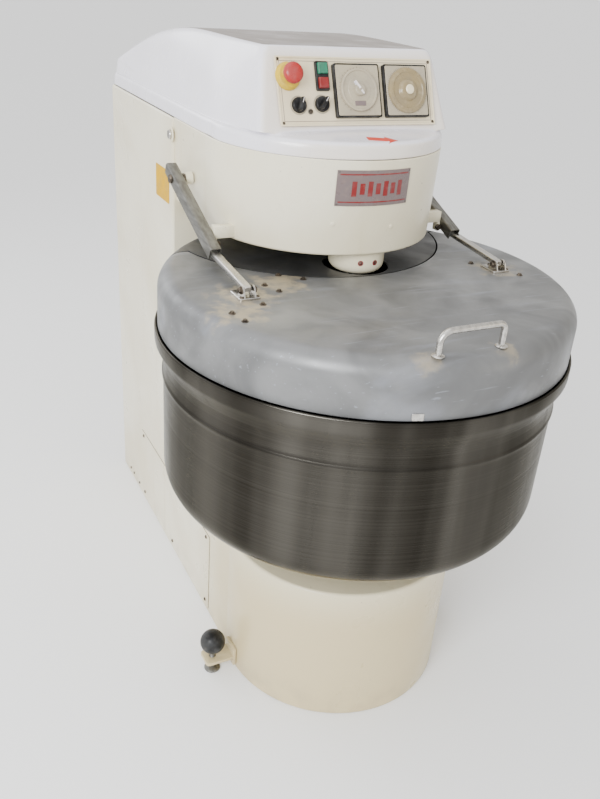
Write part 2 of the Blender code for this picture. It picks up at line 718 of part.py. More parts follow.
def belt_outline(big, small, distance):
    """Outline of a belt round two pulleys that stand along Y."""
    tilt = atan2(big - small, sqrt(distance ** 2 - (big - small) ** 2)) * 180 / pi
    front = arc((0, 0), big, 180 - tilt, 360 + tilt, 20)
    rear = arc((0, distance), small, tilt, 180 - tilt, 12)
    return front + rear


def make_drive(name, mats, front_y, belt_z, motor_up):
    """Motor in the column and a belt to the pulley on the tool's or the bowl's shaft."""
    distance = DRIVE_Y - front_y
    add(f"{name}_pulley", pulley(BIG_PULLEY, SHAFT_RADIUS + GAP, PULLEY_WIDTH, 28),
        mats["iron"], (0, front_y, belt_z))

    slack = 0.0012
    inner = belt_outline(BIG_PULLEY + slack, SMALL_PULLEY + slack, distance)
    outer = belt_outline(BIG_PULLEY + slack + BELT_THICK, SMALL_PULLEY + slack + BELT_THICK,
                         distance)
    half = PULLEY_WIDTH / 2 - 0.006
    add(f"{name}_belt", ring_prism(outer, inner, -half, half), mats["rubber"],
        (0, front_y, belt_z))

    way = 1 if motor_up else -1
    axle = 0.014
    end = PULLEY_WIDTH / 2
    face = end + 0.012
    depth = 0.040
    turning = add(f"{name}_motor_pulley", pulley(SMALL_PULLEY, axle - 0.002, PULLEY_WIDTH,
                                                MEDIUM_SEGMENTS),
                  mats["iron"], (0, DRIVE_Y, belt_z))
    ends = sorted((-way * (end + 0.003), way * (face + depth - 0.002)))
    join(turning, disc(axle, *ends, MEDIUM_SEGMENTS), (0, DRIVE_Y, belt_z))

    far = face + MOTOR_LENGTH
    profile = [(axle + GAP, face), (MOTOR_RADIUS, face), (MOTOR_RADIUS, far),
               (0.060, far + 0.030), (0, far + 0.030), (0, face + depth),
               (axle + GAP, face + depth)]
    motor = add(f"{name}_motor", lathe([(radius, way * z) for radius, z in profile],
                                        MEDIUM_SEGMENTS), mats["blue"], (0, DRIVE_Y, belt_z))
    reach = COLUMN_HALF - SHEET - GAP
    plate = sorted((way * (face + 0.002), way * (face + 0.012)))
    mount = box(-reach, reach, -0.120, 0.120, *plate)
    join(motor, mount, (0, DRIVE_Y, belt_z))
    cut(motor, disc(axle + GAP, *sorted((way * (face - 0.01), way * (face + depth))),
                    MEDIUM_SEGMENTS), (0, DRIVE_Y, belt_z))


# ---------------------------------------------------------------- lid
def lid_profile(top, radius, edge, bottom):
    points = [(radius, bottom)]
    points += arc((radius - edge, top - edge), edge, 0, 90, 4)
    points.append((0, top))
    return points


def lid_shell():
    """Section of the lid turned about the bowl's axis."""
    outside = lid_profile(LID_TOP, LID_RADIUS, LID_EDGE, LID_BOTTOM)
    inside = lid_profile(LID_TOP - LID_SHEET, LID_RADIUS - LID_SHEET, LID_EDGE - LID_SHEET,
                         LID_BOTTOM)[::-1]
    return lathe(outside + inside, SEGMENTS)


def make_lid(mats, hinge):
    offset = tuple(-c for c in hinge.location)
    lid = add("lid", lid_shell(), mats["dull"], offset, hinge)
    cut(lid, box(-0.5, 0.5, LID_REAR_Y, 0.5, 0.85, 1.05))
    cut(lid, disc(CUTOUT_RADIUS, 0.85, 1.05, SEGMENTS), (0, CUTOUT_CENTRE_Y, 0))


def make_rear_cover(mats):
    """Fixed part of the bowl's cover, behind the lid and under the head."""
    cover = add("rear_cover", lid_shell(), mats["dull"])
    front = LID_REAR_Y + REAR_COVER_GAP
    radius = CUTOUT_RADIUS - REAR_COVER_GAP
    side = sqrt(radius ** 2 - (front - CUTOUT_CENTRE_Y) ** 2)
    start = atan2(front - CUTOUT_CENTRE_Y, side) * 180 / pi
    nose = arc((0, CUTOUT_CENTRE_Y), radius, start, -180 - start, 26)
    outline = [(0.5, -0.5), (0.5, front)] + nose + [(-0.5, front), (-0.5, -0.5)]
    cut(cover, prism(outline, 0.85, 1.05))
    flange = box(-0.140, 0.140, 0.350, COLUMN_FRONT - GAP, LID_TOP - LID_SHEET - 0.002,
                 LID_TOP - 0.001)
    join(cover, flange)
    cut(cover, disc(BOSS_RADIUS + 0.012, 0.98, 1.05, MEDIUM_SEGMENTS), (BREAKER_X, BREAKER_Y, 0))
    cut(cover, disc(SHAFT_RADIUS + 0.012, 0.98, 1.05, MEDIUM_SEGMENTS), (0, SPIRAL_Y, 0))


def make_handle(mats, hinge):
    """Bent round bar on the front of the lid."""
    low = LID_TOP + 0.0005
    high = LID_TOP + HANDLE_RISE
    bend = 0.016
    reach = (HANDLE_X[1] - HANDLE_X[0]) / 2
    points = [(-reach, low)]
    points += arc((-reach + bend, high - bend), bend, 180, 90, 4)
    points += arc((reach - bend, high - bend), bend, 90, 0, 4)
    points.append((reach, low))
    place = Vector((sum(HANDLE_X) / 2, HANDLE_Y, 0)) - hinge.location
    path = [Vector((along, 0, z)) for along, z in points]
    add("lid_handle", tube(path, HANDLE_ROD, 8), mats["chrome"], place, hinge)


def arm_slope():
    return atan2(ARM_TOP[1] - ARM_LOW[1], ARM_TOP[0] - ARM_LOW[0])


def hinge_height():
    """Height of the channel's centre line over the hinge."""
    return ARM_LOW[1] + (HINGE_Y - ARM_LOW[0]) * (ARM_TOP[1] - ARM_LOW[1]) / (
        ARM_TOP[0] - ARM_LOW[0])


def make_arm(mats, hinge, side, word):
    """Channel from the hinge, link bar, and the bracket that is bolted to the lid."""
    x = side * ARM_X
    offset = tuple(-c for c in hinge.location)
    channel = add(f"arm_{word}", slanted_bar(ARM_LOW, ARM_TOP, x, ARM_WIDTH, ARM_HEIGHT),
                  mats["steel"], offset, hinge, smooth=False)
    slope = arm_slope()
    beyond = 0.020
    low = (ARM_LOW[0] - beyond * cos(slope), ARM_LOW[1] - beyond * sin(slope) - ARM_WALL)
    high = (ARM_TOP[0] - ARM_WALL, ARM_TOP[1] - 2 * ARM_WALL)
    cut(channel, slanted_bar(low, high, x, ARM_WIDTH - 2 * ARM_WALL, ARM_HEIGHT), offset, hinge)
    hole = along_x(disc(PIN_RADIUS + GAP, -0.03, 0.03), x, 0, 0)
    cut(channel, hole, parent=hinge)

    add(f"link_{word}", slanted_bar(LINK_LOW, LINK_TOP, x, LINK_WIDTH, LINK_HEIGHT),
        mats["chrome"], offset, hinge, smooth=False)

    foot = LID_TOP + GAP
    y = LINK_LOW[0] + 0.012
    under_link = LINK_LOW[1] - LINK_HEIGHT / 2 - GAP - 0.001
    bracket = add(f"bracket_{word}", box(x - 0.022, x + 0.022, y - 0.026, y + 0.026, foot,
                                         foot + 0.004), mats["steel"], offset, hinge)
    join(bracket, box(x - 0.012, x + 0.012, y - 0.015, y + 0.015, foot + 0.002, under_link),
         offset, hinge)


def make_lugs(mats, side, word):
    """White lug and pin at the hinge, and the lug that the lowered arm rests on."""
    inner = ARM_X - ARM_WIDTH / 2 - GAP
    outer = ARM_X + ARM_WIDTH / 2 + GAP
    height = hinge_height()
    wall = HEAD_RADIUS_TOP + GAP
    lug = add(f"hinge_lug_{word}", along_x(lathe([(PIN_RADIUS + GAP, wall), (LUG_RADIUS, wall),
                                                  (LUG_RADIUS, inner), (PIN_RADIUS + GAP, inner)]),
                                           0, 0, 0), mats["cream"], (0, HINGE_Y, height))
    pin = add(f"hinge_pin_{word}", along_x(lathe([(0, wall), (PIN_RADIUS, wall),
                                                  (PIN_RADIUS, outer), (0.010, outer),
                                                  (0.010, outer + 0.006), (0, outer + 0.006)]),
                                           0, 0, 0), mats["steel"], (0, HINGE_Y, height))
    if side < 0:
        lug.rotation_euler = (0, 0, pi)
        pin.rotation_euler = (0, 0, pi)

    y0, y1 = REST_LUG_Y
    centre = ARM_LOW[1] + (y0 - ARM_LOW[0]) * sin(arm_slope()) / cos(arm_slope())
    under = centre - ARM_HEIGHT / 2 / cos(arm_slope()) - GAP
    block_low = HEAD_BOTTOM + 0.006
    block = add(f"rest_lug_{word}", box(*sorted((side * 0.18, side * inner)), y0, y1,
                                        block_low, block_low + 0.026), mats["cream"])
    join(block, box(*sorted((side * (inner - 0.007), side * inner)), y0, y1, under - 0.006,
                    block_low + 0.010))
    join(block, box(*sorted((side * (inner - 0.005), side * (inner + REST_PAD))), y0 + 0.002,
                    y1 - 0.002, under - 0.006, under))
    cut(block, disc(HEAD_RADIUS_TOP - 0.0043, HEAD_BOTTOM - 0.05, HEAD_BOTTOM + 0.05, 72),
        (0, HEAD_CENTRE_Y, 0))


def make_lid_arms(mats, hinge):
    for side, word in ((-1, "left"), (1, "right")):
        make_arm(mats, hinge, side, word)
        make_lugs(mats, side, word)


# ---------------------------------------------------------------- levelling feet
def make_foot(mats, side, word):
    """Bracket on the base, with a screwed foot and its black ball knob."""
    inner = BASE_RADIUS + GAP * 2
    x = side * FOOT_X
    edge = sorted((side * inner, side * (FOOT_X + 0.024)))
    low = FOOT_PLATE_Z
    bracket = add(f"foot_bracket_{word}", box(*edge, -0.026, 0.026, low, low + FOOT_PLATE_THICK),
                  mats["iron"])
    leg = sorted((side * inner, side * (inner + 0.008)))
    join(bracket, box(*leg, -0.026, 0.026, low - 0.020, low + 0.030))
    cut(bracket, disc(SCREW_RADIUS + GAP, 0, 0.1), (x, 0, 0))

    knob_foot = KNOB_Z - KNOB_RADIUS + 0.004
    pad = 0.020
    screw = [(0, 0), (pad, 0), (pad, 0.006), (SCREW_RADIUS, 0.010),
             (SCREW_RADIUS, knob_foot - GAP), (0, knob_foot - GAP)]
    add(f"foot_screw_{word}", lathe(screw), mats["steel"], (x, 0, 0))

    ball = [(0, knob_foot), (KNOB_RADIUS / 2, knob_foot)]
    ball += arc((0, KNOB_Z), KNOB_RADIUS, -40, 75, 4) + [(0, KNOB_Z + KNOB_RADIUS)]
    add(f"foot_knob_{word}", lathe(ball), mats["black"], (x, 0, 0))


def main():
    clear_scene()
    mats = make_materials()
    make_body(mats)
    make_access_panels(mats)
    make_cable_gland(mats)
    make_head(mats)
    cover = make_cover(mats)
    make_catch(mats)
    make_control_panel(mats, cover)
    make_badge(mats)
    make_bowl(mats)
    make_breaker(mats)
    make_spiral(mats)
    make_drive("spiral", mats, SPIRAL_Y, SPIRAL_BELT_Z, motor_up=False)
    make_drive("bowl", mats, 0.0, BOWL_BELT_Z, motor_up=True)
    hinge = empty("lid_hinge", (0, HINGE_Y, hinge_height()))
    make_lid(mats, hinge)
    make_rear_cover(mats)
    make_handle(mats, hinge)
    make_lid_arms(mats, hinge)
    for side, word in ((-1, "left"), (1, "right")):
        make_foot(mats, side, word)


main()
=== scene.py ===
"""Looks of a floor-standing spiral dough mixer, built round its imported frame.

Metres, +Z up.  The origin is on the floor, on the bowl's axis.
-Y is the operator's side, +Y runs back to the column, and +X is the operator's right.
"""
import json
from math import acos, asin, atan2, cos, degrees, hypot, pi, radians, sin, sqrt

import bmesh
import bpy
from mathutils import Matrix, Vector, bvhtree


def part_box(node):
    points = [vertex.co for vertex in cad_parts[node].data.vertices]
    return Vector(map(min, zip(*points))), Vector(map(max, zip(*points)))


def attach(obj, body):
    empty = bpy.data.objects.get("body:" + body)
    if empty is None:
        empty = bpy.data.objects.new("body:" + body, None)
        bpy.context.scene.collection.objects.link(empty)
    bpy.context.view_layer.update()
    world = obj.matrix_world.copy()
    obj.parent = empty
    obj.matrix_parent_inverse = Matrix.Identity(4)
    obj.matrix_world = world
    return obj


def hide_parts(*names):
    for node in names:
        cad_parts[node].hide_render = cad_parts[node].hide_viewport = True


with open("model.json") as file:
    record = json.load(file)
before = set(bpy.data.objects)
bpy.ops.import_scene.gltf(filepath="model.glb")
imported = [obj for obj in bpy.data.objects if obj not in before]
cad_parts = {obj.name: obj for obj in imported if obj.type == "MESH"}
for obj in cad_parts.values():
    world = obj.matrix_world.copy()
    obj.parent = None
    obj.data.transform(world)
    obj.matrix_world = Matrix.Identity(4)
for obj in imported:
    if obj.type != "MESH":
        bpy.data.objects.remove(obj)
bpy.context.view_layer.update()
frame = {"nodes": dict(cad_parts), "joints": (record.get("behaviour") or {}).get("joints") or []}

# ---------------------------------------------------------------- sizes taken from the frame
LOW = {name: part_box(name)[0] for name in frame["nodes"]}
HIGH = {name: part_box(name)[1] for name in frame["nodes"]}
JOINTS = {joint["name"]: joint for joint in frame["joints"]}


def middle_of(node):
    """The middle of a node's box at rest."""
    return [(a + b) / 2 for a, b in zip(LOW[node], HIGH[node])]


def half_of(node):
    """Half of a node's size along each axis."""
    return [(b - a) / 2 for a, b in zip(LOW[node], HIGH[node])]


GAP = 0.0003                  # between two parts that touch
BASE_RADIUS = HIGH["body_shell"][0]
COLUMN_HALF = LOW["side_panel_right"][0] - GAP
COLUMN_FRONT = HIGH["head_shell"][1] + GAP
COLUMN_REAR = HIGH["body_shell"][1]
BASE_TOP = HIGH["bowl_bearing"][2] + 0.0043
SEAM_Z = HIGH["body_shell"][2]

HEAD_RADIUS = HIGH["head_shell"][0]
HEAD_Y = LOW["head_shell"][1] + HEAD_RADIUS
HEAD_LOW = LOW["head_shell"][2]
HEAD_DRAFT = 0.006            # how much smaller the drum's radius is at its foot
PASSAGE_HALF = 0.215          # half width of the opening between the column and the drum
COVER_TOP = HIGH["head_cover"][2]
COVER_REAR = HIGH["head_cover"][1]
LEDGE_Z = SEAM_Z + 0.033      # the ledge between the cover's skirt and its box
COVER_HALF = 0.256            # half width of the cover's box at its foot
RIDGE_FRONT, RIDGE_REAR = 0.30, 0.85    # where the middle line of the cover's top starts and ends
SKIRT_RADIUS = HEAD_RADIUS - 0.001

RIM_RADIUS = HIGH["bowl"][0]
RIM_TOP = HIGH["bowl"][2]
DISH_Z = LOW["bowl"][2]
BOWL_WALL = RIM_RADIUS - 0.018
CREASE_Z = RIM_TOP - 0.066
BEAD_Z = RIM_TOP - 0.1095
CORNER_Z = DISH_Z + 0.150
CORNER_RADIUS = 0.085
DISH_RADIUS = 0.200
BOWL_SHEET = 0.004

SHAFT_RADIUS = 0.030
BEARING_BORE = SHAFT_RADIUS + 0.0006
MOTOR_SHAFT = 0.014

LID_RADIUS = HIGH["lid"][0]
LID_LOW = LOW["lid"][2]
LID_TOP = HIGH["lid"][2]
LID_EDGE = 0.036
LID_REAR_Y = HIGH["lid"][1]
CUTOUT_Y = 0.315
CUTOUT_RADIUS = 0.3295
HINGE = Vector(JOINTS["lid_lift"]["pos_m"])
UNDER_LID, OVER_LID = 0.85, 1.05    # heights that the lid's cutters reach
WIDE = 0.5                    # past the machine's sides

# the control plate's own axes: U to the right, V up the slope, N out of it
N = Vector(JOINTS["timer_left_turn"]["axis"]).normalized()
U = Vector((1, 0, 0))
V = N.cross(U)
PLATE_ORIGIN = Vector((0, *JOINTS["timer_left_turn"]["pos_m"][1:]))
PLATE_FACE = 0.0023           # the plate's face stands this far out of the cover
CASE_DEPTH = 0.011            # of a timer, above the plate's face
DIAL_STEM = [(0, 0.0007 - CASE_DEPTH), (0.006, 0.0007 - CASE_DEPTH), (0.006, 0)]


# ---------------------------------------------------------------- materials
DUST = (0.55, 0.50, 0.42)


class Look:
    """Builds one node material whose patterns lie in the piece's own space."""

    def __init__(self, name, colour, roughness, metallic=0.0, coat=0.0):
        self.material = bpy.data.materials.new(name)
        self.material.use_nodes = True
        self.nodes = self.material.node_tree.nodes
        self.links = self.material.node_tree.links
        self.shader = self.nodes["Principled BSDF"]
        self.set("Base Color", colour)
        self.set("Roughness", roughness)
        self.set("Metallic", metallic)
        self.set("Coat Weight", coat)
        self.set("Coat Roughness", 0.12)
        self.space = self.nodes.new("ShaderNodeTexCoord").outputs["Object"]

    def feed(self, port, value):
        """Put a number, a colour or another node's output into an input."""
        if isinstance(value, bpy.types.NodeSocket):
            self.links.new(value, port)
        elif port.type == "RGBA":
            port.default_value = (*value[:3], 1.0)
        else:
            port.default_value = value

    def set(self, name, value, node=None):
        """Feed an input by its name, on the shader unless a node is given."""
        self.feed((node or self.shader).inputs[name], value)

    def noise(self, scale, detail, stretch=(1, 1, 1), warp=0.0, at=None):
        placed = self.nodes.new("ShaderNodeMapping")
        self.set("Vector", at or self.space, placed)
        self.set("Scale", stretch, placed)
        noise = self.nodes.new("ShaderNodeTexNoise")
        self.set("Vector", placed.outputs[0], noise)
        self.set("Scale", scale, noise)
        self.set("Detail", detail, noise)
        self.set("Distortion", warp, noise)
        return noise.outputs["Fac"]

    def span(self, value, low, high, start=0.0, end=1.0):
        """A value between low and high, carried smoothly to start and end."""
        node = self.nodes.new("ShaderNodeMapRange")
        node.interpolation_type = "SMOOTHSTEP"
        for name, number in zip(("Value", "From Min", "From Max", "To Min", "To Max"),
                                (value, low, high, start, end)):
            self.set(name, number, node)
        return node.outputs[0]

    def maths(self, operation, first, second=0.0):
        node = self.nodes.new("ShaderNodeMath")
        node.operation = operation
        for port, value in zip(node.inputs, (first, second)):
            self.feed(port, value)
        return node.outputs[0]

    def times(self, first, second):
        return self.maths("MULTIPLY", first, second)

    def plus(self, first, second):
        return self.maths("ADD", first, second)

    def mix(self, factor, first, second):
        node = self.nodes.new("ShaderNodeMix")
        node.data_type = "RGBA"
        for index, value in ((0, factor), (6, first), (7, second)):
            self.feed(node.inputs[index], value)
        return node.outputs[2]

    def parts(self, vector):
        """The three numbers of a vector."""
        node = self.nodes.new("ShaderNodeSeparateXYZ")
        self.set("Vector", vector, node)
        return node.outputs

    def axes(self):
        """The place on the piece, as three numbers."""
        return self.parts(self.space)

    def facing(self):
        """The surface's own direction, as three numbers."""
        return self.parts(self.nodes.new("ShaderNodeTexCoord").outputs["Normal"])

    def near(self, centre, radius, edge):
        """A soft round patch round a point: 1 in its middle, 0 outside."""
        node = self.nodes.new("ShaderNodeVectorMath")
        node.operation = "DISTANCE"
        self.feed(node.inputs[0], self.space)
        self.feed(node.inputs[1], centre)
        ragged = self.plus(node.outputs["Value"],
                           self.span(self.noise(38, 4), 0.3, 0.7, -edge, edge))
        return self.span(ragged, radius - edge, radius + edge, 1.0, 0.0)

    def bump(self, height, strength, distance):
        node = self.nodes.new("ShaderNodeBump")
        self.set("Height", height, node)
        self.set("Strength", strength, node)
        self.set("Distance", distance, node)
        self.set("Normal", node.outputs[0])


def painted(name, clean, aged, grime, chip):
    """Old gloss enamel: patches of yellowing, yellowing and painted shade on the base under the bowl,
    grime low down, chips and orange peel.
    """
    look = Look(name, clean, 0.35, coat=0.25)
    depth, height = look.axes()[1:]
    patches = look.span(look.noise(3.2, 5, warp=0.6), 0.38, 0.70)
    # the base under the bowl goes towards the aged colour: partly yellowing, partly painted shade under
    # the bowl's overhang
    yellowing_and_shade_under_bowl = look.times(look.span(height, 0.25, 0.50, 0.95, 0.0),
                            look.span(depth, 0.05, 0.35, 1.0, 0.0))
    yellowed_and_shaded = look.maths("MAXIMUM", look.times(patches, 0.40), yellowing_and_shade_under_bowl)
    colour = look.mix(yellowed_and_shaded, clean, aged)
    streaks = look.span(look.noise(26, 3, (1, 1, 0.06)), 0.55, 0.80, 0.0, 0.35)
    colour = look.mix(streaks, colour, aged)
    floor_dirt = look.times(look.span(height, 0.002, 0.11, 0.45, 0.0),
                            look.span(look.noise(18, 6), 0.35, 0.75))
    colour = look.mix(floor_dirt, colour, grime)
    specks = look.span(look.noise(85, 2), 0.765, 0.785)
    colour = look.mix(specks, colour, chip)
    look.set("Base Color", colour)
    look.set("Roughness", look.span(look.noise(7, 5), 0.3, 0.7, 0.26, 0.46))
    peel = look.maths("SUBTRACT", look.noise(420, 2), look.times(specks, 2.0))
    look.bump(peel, 0.05, 0.0006)
    return look.material


def moulding(name):
    """Cool white gloss moulding with painted warm light on its front faces, and brown dust mixed with
    painted shade on its flat top.
    """
    # the third colour is the dark brown of the flat top: dust and painted shade together
    white, shade, dust = (0.80, 0.78, 0.83), (0.72, 0.69, 0.73), (0.135, 0.100, 0.075)
    look = Look(name, white, 0.22, coat=0.4)
    height = look.axes()[2]
    colour = look.mix(look.span(look.noise(5, 5, warp=0.8), 0.35, 0.75, 0.0, 0.5), white, shade)
    # faces turned to the front are tinted warm cream: painted warm light
    y_way, z_way = look.facing()[1:]
    colour = look.mix(look.span(y_way, -0.95, -0.55, 0.55, 0.0), colour, (0.76, 0.66, 0.48))
    # level faces near the top take the dark brown: partly dust, partly painted shade where the top
    # faces away from the lights
    level = look.times(look.span(z_way, 0.93, 0.985),
                       look.span(height, COVER_TOP - 0.07, COVER_TOP - 0.02))
    top_dust_and_shade = look.times(level, look.span(look.noise(9, 6), 0.15, 0.6, 0.75, 1.0))
    colour = look.mix(top_dust_and_shade, colour, dust)
    scuffs = look.span(look.noise(60, 3, (1, 0.08, 1)), 0.66, 0.80, 0.0, 0.35)
    colour = look.mix(scuffs, colour, (0.60, 0.57, 0.55))
    look.set("Base Color", colour)
    rough = look.span(look.noise(11, 5), 0.3, 0.7, 0.16, 0.30)
    look.set("Roughness", look.plus(rough, look.times(top_dust_and_shade, 0.35)))
    look.bump(look.noise(160, 3), 0.04, 0.0008)
    return look.material


def round_axis(look):
    """Distance from the vertical axis, and the height, as two values."""
    x, y, z = look.axes()
    return look.maths("SQRT", look.plus(look.times(x, x), look.times(y, y))), z


def brushed_round(name, light, dark, roughness, grain):
    """Sheet turned on a lathe: fine rings round the axis, cloudy stains, and upright light and dark
    bands painted into the colour as streaked reflections.
    """
    look = Look(name, light, roughness, metallic=1.0)
    radius, height = round_axis(look)
    rings = look.nodes.new("ShaderNodeCombineXYZ")
    look.set("X", look.times(radius, grain), rings)
    look.set("Z", look.times(height, grain), rings)
    fine = look.noise(1.0, 5, at=rings.outputs[0])
    cloud = look.noise(7.0, 5, (1, 1, 0.10), 0.3)
    # upright bands of light and dark colour: painted streaks of reflection down the bowl
    upright = look.noise(4.0, 3, (1, 1, 0.02))
    shade = look.plus(look.span(fine, 0.2, 0.8, 0.0, 0.20),
                      look.span(upright, 0.36, 0.60, 0.80, 0.0))
    colour = look.mix(shade, light, dark)
    stain = look.times(look.span(cloud, 0.42, 0.72), 0.6)
    look.set("Base Color", look.mix(stain, colour, tuple(c * 0.70 for c in dark)))
    rough = look.span(cloud, 0.3, 0.7, roughness - 0.07, roughness + 0.12)
    look.set("Roughness", look.plus(rough, look.span(fine, 0.3, 0.7, -0.04, 0.04)))
    look.set("Specular Tint", (0.72, 0.71, 0.68))
    look.set("Anisotropic", 0.75)
    tangent = look.nodes.new("ShaderNodeTangent")
    tangent.direction_type = "RADIAL"
    tangent.axis = "Z"
    look.set("Tangent", tangent.outputs[0])
    look.bump(fine, 0.05, 0.0002)
    return look.material


def worn_aluminium(name, stains, shade=1.0):
    """Dull cast aluminium: cloudy oxide, fine scratches and glue stains at the brackets; a shade below
    1 darkens every tone, for a copy in painted shade.
    """
    light, dark, oxide = (0.205, 0.206, 0.205), (0.125, 0.126, 0.126), (0.29, 0.305, 0.345)
    light, dark, oxide = (tuple(c * shade for c in tone) for tone in (light, dark, oxide))
    look = Look(name, light, 0.42, metallic=0.45)
    cloud = look.noise(5.5, 7, warp=1.2)
    colour = look.mix(look.span(cloud, 0.32, 0.70), dark, light)
    smears = look.span(look.noise(7, 5, (0.5, 2.2, 1), 0.6), 0.55, 0.78, 0.0, 0.55)
    colour = look.mix(smears, colour, oxide)
    scratches = look.span(look.noise(150, 2, (0.05, 1, 1), 0.4), 0.66, 0.74, 0.0, 0.5)
    colour = look.mix(scratches, colour, oxide)
    outside = look.span(look.facing()[2], 0.0, 0.3)
    streaked = look.times(outside, look.span(look.noise(45, 5), 0.3, 0.6, 0.3, 1.0))
    for centre, radius, amount in stains:
        patch = look.times(look.near(centre, radius, radius * 0.5), amount)
        patch = look.times(patch, streaked)
        colour = look.mix(patch, colour, (0.42, 0.35, 0.235))
    look.set("Base Color", colour)
    look.set("Roughness", look.span(look.noise(9, 6, warp=0.7), 0.3, 0.7, 0.34, 0.56))
    relief = look.plus(look.noise(30, 4), look.times(scratches, 0.5))
    look.bump(relief, 0.08, 0.0015)
    return look.material


def bare_metal(name, light, dark, roughness, stretch, pits=0.0):
    """Bar and plate: drawn grain along one axis, dull patches and a little rust."""
    look = Look(name, light, roughness, metallic=1.0)
    grain = look.noise(120, 4, stretch)
    patches = look.noise(22, 5, warp=0.5)
    colour = look.mix(look.span(grain, 0.3, 0.7), light, dark)
    colour = look.mix(look.span(patches, 0.60, 0.80, 0.0, 0.5 + pits), colour,
                      (0.16, 0.12, 0.08))
    look.set("Base Color", colour)
    look.set("Roughness", look.span(patches, 0.3, 0.7, roughness, roughness + 0.22))
    look.bump(look.plus(grain, look.times(patches, pits * 3)), 0.12, 0.0005)
    return look.material


def rough_casting(name, colour, light, metallic):
    """Sand-cast or thickly painted metal: a coarse skin with paler patches."""
    look = Look(name, colour, 0.6, metallic=metallic)
    skin = look.noise(190, 6)
    look.set("Base Color", look.mix(look.span(look.noise(14, 5), 0.4, 0.75), colour, light))
    look.set("Roughness", look.span(skin, 0.3, 0.7, 0.50, 0.75))
    look.bump(skin, 0.35, 0.0012)
    return look.material


def plastic(name, colour, roughness, dusty, fade=DUST, gloss=0.38):
    """Moulded plastic: a fine grain, faded patches, and dust in the grain."""
    look = Look(name, colour, roughness)
    look.set("Specular IOR Level", gloss)
    dust = look.span(look.noise(75, 5), 0.50, 0.80, 0.0, dusty)
    pale = tuple(c * 0.8 + 0.03 for c in colour)
    shade = look.mix(look.span(look.noise(35, 4), 0.35, 0.70), colour, pale)
    look.set("Base Color", look.mix(dust, shade, fade))
    look.set("Roughness", look.span(look.noise(55, 4), 0.3, 0.7, roughness - 0.06, roughness + 0.14))
    look.bump(look.noise(900, 2), 0.08, 0.0002)
    return look.material


def lens(name):
    """Cloudy lamp glass."""
    look = Look(name, (0.70, 0.66, 0.52), 0.12, coat=0.5)
    look.set("Transmission Weight", 0.5)
    look.set("Base Color", look.mix(look.span(look.noise(300, 3), 0.4, 0.7),
                                    (0.72, 0.68, 0.55), (0.50, 0.44, 0.32)))
    look.bump(look.noise(500, 2), 0.15, 0.0002)
    return look.material


def make_looks():
    """Every finish by its name: the maker, the name, and what the maker is given."""
    lid_x = HIGH["bracket_right"][0] - 0.022
    stain_y = middle_of("bracket_left")[1]
    handle_y = LOW["lid_handle"][1]
    stains = (((-lid_x, stain_y, LID_TOP), 0.050, 0.85),
              ((-lid_x + 0.085, stain_y + 0.045, LID_TOP), 0.046, 0.8),
              ((-lid_x - 0.050, stain_y - 0.075, LID_TOP), 0.042, 0.8),
              ((-0.170, 0.035, LID_TOP), 0.032, 0.7),
              ((lid_x, stain_y, LID_TOP), 0.040, 0.6),
              ((-0.115, handle_y, LID_TOP), 0.022, 0.5),
              ((0.045, handle_y, LID_TOP), 0.022, 0.5))
    drawn = (1, 0.1, 1)
    recipes = (
        (painted, "cream_paint", (0.78, 0.725, 0.55), (0.56, 0.46, 0.25), (0.34, 0.27, 0.17),
         (0.30, 0.22, 0.15)),
        (moulding, "white_moulding"),
        # the stainless is given very dark colours: painted shade that stands for the dark room the
        # steel reflects
        (brushed_round, "bowl_stainless", (0.105, 0.098, 0.085), (0.016, 0.014, 0.011), 0.24, 700),
        (worn_aluminium, "lid_aluminium", stains),
        # the fixed rear cover is the lid's aluminium darkened: painted shade under the drum
        (worn_aluminium, "rear_aluminium_in_shade", (), 0.28),
        (bare_metal, "bright_steel", (0.60, 0.58, 0.54), (0.44, 0.42, 0.39), 0.18, drawn),
        (bare_metal, "plain_steel", (0.22, 0.215, 0.195), (0.13, 0.125, 0.11), 0.34, (1, 0.08, 1),
         0.2),
        (rough_casting, "cast_iron", (0.06, 0.06, 0.06), (0.17, 0.14, 0.11), 0.5),
        (plastic, "black_plastic", (0.008, 0.008, 0.008), 0.34, 0.03, DUST, 0.16),
        (plastic, "belt_rubber", (0.022, 0.022, 0.023), 0.72, 0.15),
        (plastic, "red_plastic", (0.36, 0.010, 0.006), 0.28, 0.06),
        (plastic, "green_plastic", (0.008, 0.150, 0.080), 0.34, 0.08),
        (plastic, "yellow_plastic", (0.60, 0.40, 0.010), 0.34, 0.15),
        (plastic, "grey_plastic", (0.40, 0.345, 0.245), 0.30, 0.30, (0.28, 0.23, 0.15)),
        (lens, "lamp_lens"),
        (plastic, "badge_face", (0.165, 0.120, 0.115), 0.30, 0.35, (0.26, 0.19, 0.155)),
        (rough_casting, "motor_paint", (0.08, 0.13, 0.20), (0.14, 0.18, 0.22), 0.0),
        (painted, "plate_print", (0.74, 0.64, 0.44), (0.60, 0.48, 0.28), (0.3, 0.25, 0.2),
         (0.45, 0.38, 0.30)),
        (plastic, "knob_beige", (0.26, 0.20, 0.10), 0.26, 0.35, (0.48, 0.41, 0.28)),
        (plastic, "mark_red", (0.20, 0.010, 0.010), 0.40, 0.12),
        (plastic, "sticker_yellow", (0.62, 0.35, 0.0), 0.6, 0.08, (0.70, 0.55, 0.20), 0.08),
        (plastic, "sticker_red", (0.62, 0.040, 0.018), 0.45, 0.06),
        (bare_metal, "dark_bolt", (0.17, 0.14, 0.11), (0.06, 0.050, 0.04), 0.40, (1, 1, 1), 0.3),
    )
    return {name: maker(name, *given) for maker, name, *given in recipes}


